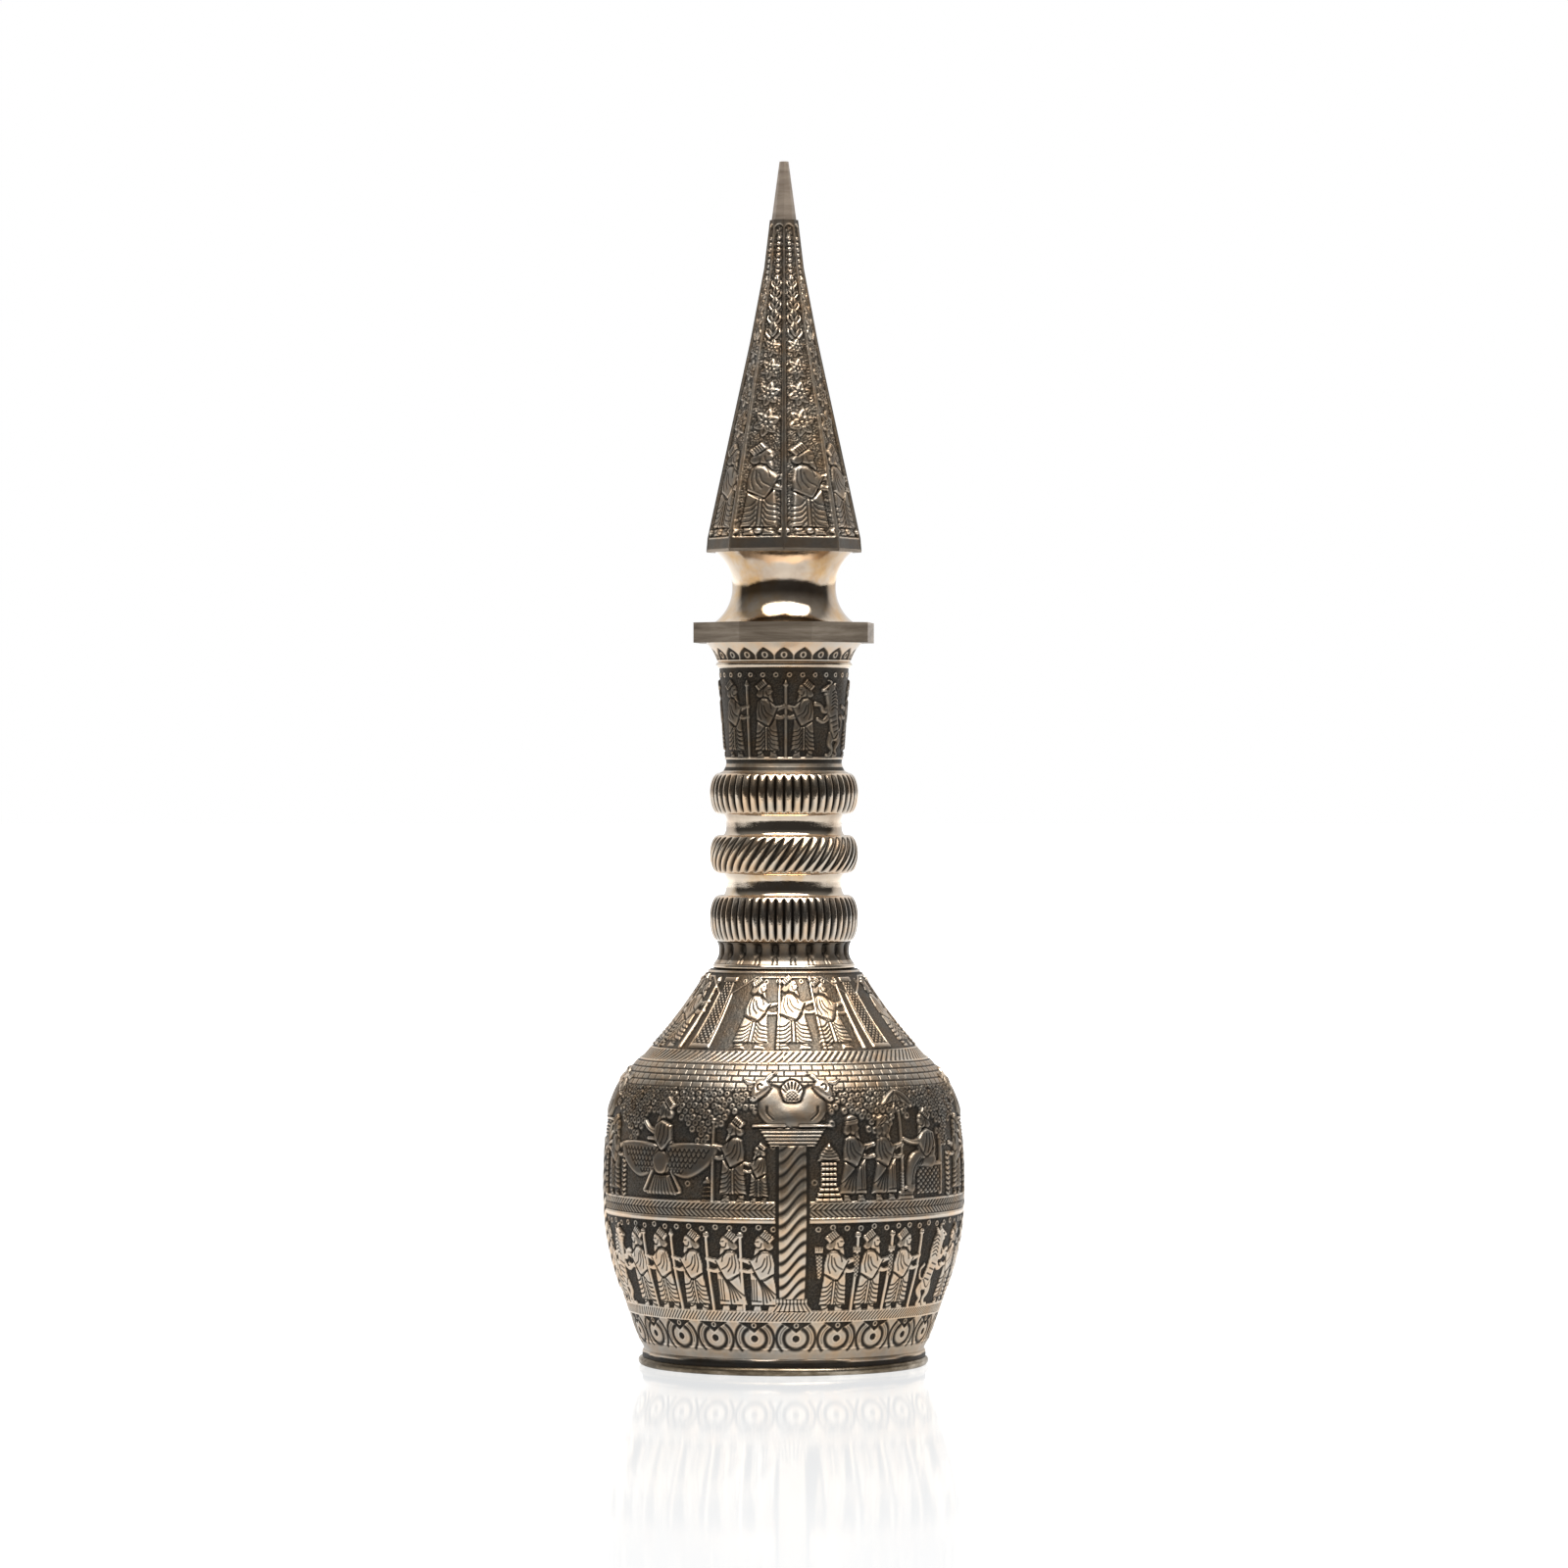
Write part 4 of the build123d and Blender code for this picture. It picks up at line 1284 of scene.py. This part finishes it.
def make_collar():
    """Waisted collar of flutes with dark arched hollows at the top and small arcs below."""
    count = 23
    foot, top = span("collar")

    def shape(r, z, turn, tone):
        rise = (z - foot) / (top - foot)
        phase = (turn * count / (2 * pi)) % 1.0 - 0.5
        outer = r > 21.0
        arch = bell(np.abs(phase), 0.20, 4)
        arch = arch * np.clip((rise - 0.30) / 0.15, 0, 1) * np.clip((0.97 - rise) / 0.06, 0, 1)
        hole = bell(np.hypot(phase / 0.19, (rise - 0.76) / 0.22), 1)
        foot_arc = bell(np.hypot(phase, (rise - 0.02) * 0.42) - 0.13, 0.035) * (rise > 0.02)
        cut = (0.75 * arch + 0.9 * hole + 0.4 * foot_arc) * outer
        tone = tone * np.where(rise > 0.16, 0.40, 0.85)
        return r - cut, z, turn, tone * (1 - np.clip(0.75 * arch + hole + 0.7 * foot_arc, 0, 1) * 0.97)

    waist = [(23.2, foot), (22.1, foot + 1.6), (21.6, (foot + top) / 2), (21.8, top - 1.2), (22.3, top)]
    wall = through(waist, 0.9, 10)
    profile = [(20.5, foot, 0.3)] + wall + [(20.5, top, 0.3)]
    columns = count * FLUTE_COLUMNS
    revolved("collar_flutes", ["collar"], profile, columns, shape, CHASED, crease=75)


def make_mouth():
    """Flared mouth with pointed tongues hanging between dark arches."""
    count = 22
    foot, top = span("mouth_flare")

    def shape(r, z, turn, tone):
        rise = (z - foot) / (top - foot)
        phase = (turn * count / (2 * pi)) % 1.0 - 0.5
        outer = r > 21.6
        drop = np.clip((0.74 - rise) / 0.46, 0, 1)
        tongue = 0.5 * (1 - drop) ** 1.5
        hollow = np.clip((np.abs(phase) - tongue) * 14, 0, 1)
        hollow = hollow * np.clip((0.74 - rise) / 0.05, 0, 1) * np.clip((rise - 0.07) / 0.06, 0, 1) * outer
        ring = bell(np.hypot((0.5 - np.abs(phase)) * 6.6, (rise - 0.33) * 6.2) - 0.85, 0.3) * outer
        tone = tone * (1 - 0.93 * hollow) + 0.8 * ring * hollow
        return r - 0.5 * hollow + 0.3 * ring * hollow, z, turn, tone

    wall = through([(22.1, foot), (22.9, foot + 2.0), (24.0, foot + 4.0), (25.8, top)], 0.9, 14)
    profile = [(21.0, foot, 0.3)] + wall + [(24.6, top, 0.5), (21.5, top - 1.6, 0.3)]
    columns = count * FLUTE_COLUMNS
    revolved("mouth_arches", ["mouth_flare"], profile, columns, shape, CHASED, crease=75)


def make_base_edge():
    """Rolled edge of the base plate, slightly uneven from handwork."""

    def shape(r, z, turn, tone):
        wander = 0.22 * np.sin(3 * turn + 1) + 0.12 * np.sin(7 * turn) + 0.06 * np.sin(19 * turn + 2)
        return r + wander, z + 0.12 * np.sin(5 * turn + 2) * (z > 1.4), turn, tone

    middle_r, middle_z, radius = 46.9, 1.45, 1.35
    angles = np.radians(np.linspace(180, 540, 15))[:-1]
    section = [(middle_r + radius * cos(a), middle_z + radius * sin(a), 0.8) for a in angles]
    revolved("base_rolled_edge", [], section, 360, shape, FOOT)


def make_links():
    """Polished links, straight for most of their height and coved at both ends."""
    for node in ("lower_link", "upper_link"):
        foot, top = span(node)
        middle, half = (foot + top) / 2, (top - foot) / 2
        wall = [(19.3 + 0.9 * abs(t) ** 3.6, middle + half * t, 0.8) for t in np.linspace(-1, 1, 40)]
        profile = [(18.3, foot, 0.5)] + wall + [(18.3, top, 0.5)]
        revolved(f"{node}_turning", [node], profile, 256, None, POLISHED)


# ---------------------------------------------------------------- the stopper's octagonal spire

# Height and corner radius
SPIRE = [(270.05, 25.72), (270.6, 25.8), (274.8, 25.45), (307.0, 18.5), (340.0, 11.3), (364.6, 6.6),
         (span("spire_shell")[1], 4.7)]
SIDES = 8
SPIRE_BAND = 4.7          # plain band below the panels


def spire_half_width(y):
    """Half the width of a face at a height above the spire's foot."""
    heights, radii = zip(*SPIRE)
    return np.interp(y + heights[0], heights, radii) * sin(pi / SIDES)


def draw_spire_panel():
    """One face: a robed figure, shrinking rosettes, buds and pearls inside a thin raised border."""
    height = SPIRE[-1][0] - SPIRE[0][0]
    width = 2 * max(radius for _, radius in SPIRE) * sin(pi / SIDES)
    middle = width / 2
    canvas = Canvas(width, height, 0.25, wraps=False, tone=0.37)

    def pen_at(y, size, stretch=1.0):
        return Pen(canvas, middle, y, size, 1, lift=0.9, tone=0.46, stretch=stretch, swell=1.5)

    def clear(y):
        return float(spire_half_width(y)) * 0.86 - 0.2

    figure = pen_at(SPIRE_BAND + 0.5, 31.0, 1.3)
    guard(figure, with_staff=False)
    for side in (-1, 1):                                 # fan of fine lines beside the skirt
        for k in range(6):
            figure.groove([(side * 0.17, 0.40 - 0.05 * k), (side * 0.24, 0.33 - 0.05 * k)], 0.32, 0.2)
    for x, size in ((0.0, 0.035), (-0.2, 0.025), (0.2, 0.025)):
        figure.disc(x, 0.045, size, 1.2)
    y = SPIRE_BAND + 33.0
    for _ in range(4):
        radius = clear(y + 5) * 0.88
        rosette(pen_at(y + radius, radius))
        y += 2.12 * radius
    while y < SPIRE_BAND + 84:
        size = clear(y + 3) * 1.15
        bud = pen_at(y + 0.7 * size, size)
        bud.shape([(0, -0.7), (-0.5, 0.0), (0, 0.8), (0.5, 0.0)], 1.0, smooth=True)
        bud.groove([(0, -0.5), (0, 0.6)], 0.36, 0.3)
        for side in (-1, 1):
            bud.groove([(0, -0.3), (side * 0.35, 0.15)], 0.32, 0.25)
            leaf = [(side * 0.30, -0.75), (side * 0.64, -0.35), (side * 0.6, 0.0)]
            bud.limb(leaf, [0.3, 0.24, 0.1], 0.8, edge=0.3)
        y += size * 1.3
    while y < height - 5:
        pen_at(y, 1.0).disc(0, 0, 0.62, 1.0, edge=0.4)
        ring_punch(canvas, middle, y, 0.7, 0.6)
        y += 1.85
    scatter_punches(canvas, SEED + 2, 260, 6, 80, clear=0.5, radius=0.55, tone=0.75, bare=BARE)
    canvas.matted(SPIRE_BAND, height - 2, 0.24)
    half = spire_half_width(canvas.y)
    aside = np.abs(canvas.x - middle)
    rounded_top = np.clip(aside / half, 0, 1) ** 2 * 1.6
    within = np.minimum(canvas.y - SPIRE_BAND, height - 1.6 - rounded_top - canvas.y)
    within = np.minimum(0.90 * half - 0.25 - aside, within)
    inside = step_up(within, 0.35)
    border = bell(within, 0.3)
    canvas.relief = canvas.relief * inside + 0.62 * (1 - inside) + 0.18 * border
    canvas.tone = canvas.tone * inside + 0.30 * (1 - inside)
    canvas.tone += border * (0.66 - canvas.tone)
    return canvas


def make_spire():
    """Eight chased faces that meet at plain arrises, closed by a plain inside."""
    canvas = draw_spire_panel()
    heights, radii = (np.array(column) for column in zip(*SPIRE))
    z = heights[0] + canvas.y[:, 0]
    corner = np.interp(z, heights, radii)
    share = np.linspace(0, 1, 60)                                    # across a face
    across = canvas.width / 2 + (share - 0.5) * 2 * spire_half_width(canvas.y[:, :1])
    relief, tone = (np.array([np.interp(xs, canvas.x[0], row) for xs, row in zip(across, values)])
                    for values in (canvas.relief, canvas.finished_tone()))
    points, tones = [], []
    for k in range(SIDES):
        start = 2 * pi * k / SIDES
        left = np.stack([np.sin(start) * corner, -np.cos(start) * corner], -1)
        end = start + 2 * pi / SIDES
        right = np.stack([np.sin(end) * corner, -np.cos(end) * corner], -1)
        outward = np.array([sin(start + pi / SIDES), -cos(start + pi / SIDES)])
        flat = left[:, None] + (right - left)[:, None] * share[None, :-1, None]
        rib = np.clip(1 - np.minimum(share[:-1], 1 - share[:-1]) / 0.03, 0, 1)
        flat = flat - outward * ((0.8 - relief[:, :-1]) * (1 - rib))[..., None]
        points.append(np.concatenate([flat, np.broadcast_to(z[:, None, None], flat.shape[:2] + (1,))], -1))
        tones.append(np.where(rib > 0, 0.38, tone[:, :-1]))
    outside = np.concatenate(points, axis=1)
    back = np.linspace(len(z) - 1, 0, 8).round().astype(int)
    inside = outside[back].copy()
    inside[..., :2] *= (1 - 1.6 / corner[back])[:, None, None] * 0.97
    grid = np.concatenate([outside, inside]) * MM
    polish = np.concatenate([np.concatenate(tones, axis=1), np.full(inside.shape[:2], 0.2)])
    nodes = ["spire_shell", "spire_base_band"]
    add_piece("spire_faces", grid, polish, CHASED, "stopper", nodes, crease=75)


def dress_cad_nodes():
    """Plain pieces keep their CAD shape and take a finished material."""
    finishes = {
        POLISHED: ("spool", "throat_sleeve", "plug_tube", "plug_cap", "shoulder_bead", "neck_bead"),
        BRUSHED: ("flange_bottom_plate", "flange_rim", "flange_top_plate", "spire_base_plate"),
        TIP: ("spire_tip",),
        FOOT: ("base_plate",),
    }
    for material, nodes in finishes.items():
        for node in nodes:
            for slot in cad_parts[node].material_slots:
                slot.material = material


make_bowl()
make_whole_wall("shoulder_panels", "shoulder", draw_shoulder(), shoulder_wall)
make_whole_wall("neck_guards", "neck_tube", draw_neck(), neck_wall)
make_rings()
make_collar()
make_mouth()
make_links()
make_base_edge()
make_spire()
dress_cad_nodes()

# ---------------------------------------------------------------- studio

CAMERA_AWAY = 2.29        # metres in front of the object's axis
SIGHT = radians(13.0)     # angle that the frame takes in
SENSOR = 36.0


def make_floor():
    """Pale glossy sheet that glows, a little duller around the object than further out, as painted shade
    under it.

    It ends not far in front of the object, so that the polished pieces reflect a dark near side.
    """
    half, front, back = 14.0, -0.85, 16.0
    mesh = bpy.data.meshes.new("floor")
    corners = [(-half, front, 0), (half, front, 0), (half, back, 0), (-half, back, 0)]
    mesh.from_pydata(corners, [], [(0, 1, 2, 3)])
    floor_piece = bpy.data.objects.new("floor", mesh)
    bpy.context.scene.collection.objects.link(floor_piece)
    material = bpy.data.materials.new("pale_floor")
    n = Nodes(material)
    place = n.add("ShaderNodeTexCoord").outputs["Object"]
    distance = n.add("ShaderNodeVectorMath", {0: place}, operation="LENGTH").outputs["Value"]
    # painted shade: the floor's glow is dimmer near the object than far from it
    floor_glow_and_painted_shade = n.add("ShaderNodeMapRange", {"Value": distance, "From Min": 0.08, "From Max": 0.9, "To Min": 0.70,
                                        "To Max": 0.95}, interpolation_type="SMOOTHSTEP").outputs["Result"]
    shader = n.add("ShaderNodeBsdfPrincipled", {
        "Base Color": (0.12, 0.12, 0.122, 1), "Roughness": 0.07, "Specular IOR Level": 0.26,
        "Emission Color": (0.972, 0.988, 1, 1), "Emission Strength": floor_glow_and_painted_shade})
    n.add("ShaderNodeOutputMaterial", {"Surface": shader.outputs["BSDF"]})
    mesh.materials.append(material)


def make_key_light():
    """One wide soft light overhead, a little in front of the object."""
    light = bpy.data.lights.new("key_overhead", "AREA")
    light.shape = "ELLIPSE"
    light.size, light.size_y = 1.5, 1.0
    light.energy = 28
    light.color = (1.0, 0.965, 0.92)
    place, aim = Vector((0.05, -0.44, 1.36)), Vector((0, 0, 0.12))
    lamp = bpy.data.objects.new("key_overhead", light)
    lamp.location = place
    lamp.rotation_euler = (aim - place).to_track_quat("-Z", "Y").to_euler()
    bpy.context.scene.collection.objects.link(lamp)


def make_world():
    """White room with a dark side behind the camera; the camera itself sees plain white."""
    world = bpy.data.worlds.new("studio")
    bpy.context.scene.world = world
    n = Nodes(world)
    place = n.add("ShaderNodeTexCoord").outputs["Generated"]
    parts = n.add("ShaderNodeSeparateXYZ", {"Vector": place})
    # away is 0 behind the camera and 1 behind the object, and up is 0 below and 1 overhead
    away, up = (n.add("ShaderNodeMapRange", {"Value": parts.outputs[axis], "From Min": -1.0, "From Max": 1.0})
                .outputs["Result"] for axis in ("Y", "Z"))
    walls = n.ramp(away, [(0.0, 0.05), (0.66, 0.055), (0.76, 0.75), (0.85, 1.0)])
    ceiling = n.ramp(up, [(0.62, 0.0), (0.95, 0.28)])
    tone = n.tinted(1.0, walls, ceiling, "ADD")
    room = n.add("ShaderNodeBackground", {"Color": tone, "Strength": 0.8})
    white = n.add("ShaderNodeBackground", {"Color": (1, 1, 1, 1), "Strength": 1.0})
    seen = n.add("ShaderNodeLightPath").outputs["Is Camera Ray"]
    both = n.add("ShaderNodeMixShader", {
        0: seen, 1: room.outputs["Background"], 2: white.outputs["Background"]})
    n.add("ShaderNodeOutputWorld", {"Surface": both.outputs["Shader"]})


def make_camera():
    """Nearly level view from in front, as high as the middle of the object."""
    camera = bpy.data.cameras.new("camera")
    camera.sensor_width = SENSOR
    camera.lens = SENSOR / 2 / tan(SIGHT / 2)
    holder = bpy.data.objects.new("camera", camera)
    bpy.context.scene.collection.objects.link(holder)
    aim = Vector((0.0, 0.0, 0.193))
    eye = Vector((0.0, -CAMERA_AWAY, 0.205))
    holder.location = eye
    holder.rotation_euler = (aim - eye).to_track_quat("-Z", "Y").to_euler()
    bpy.context.scene.camera = holder


bpy.context.scene.view_settings.view_transform = "Standard"
make_floor()
make_key_light()
make_world()
make_camera()
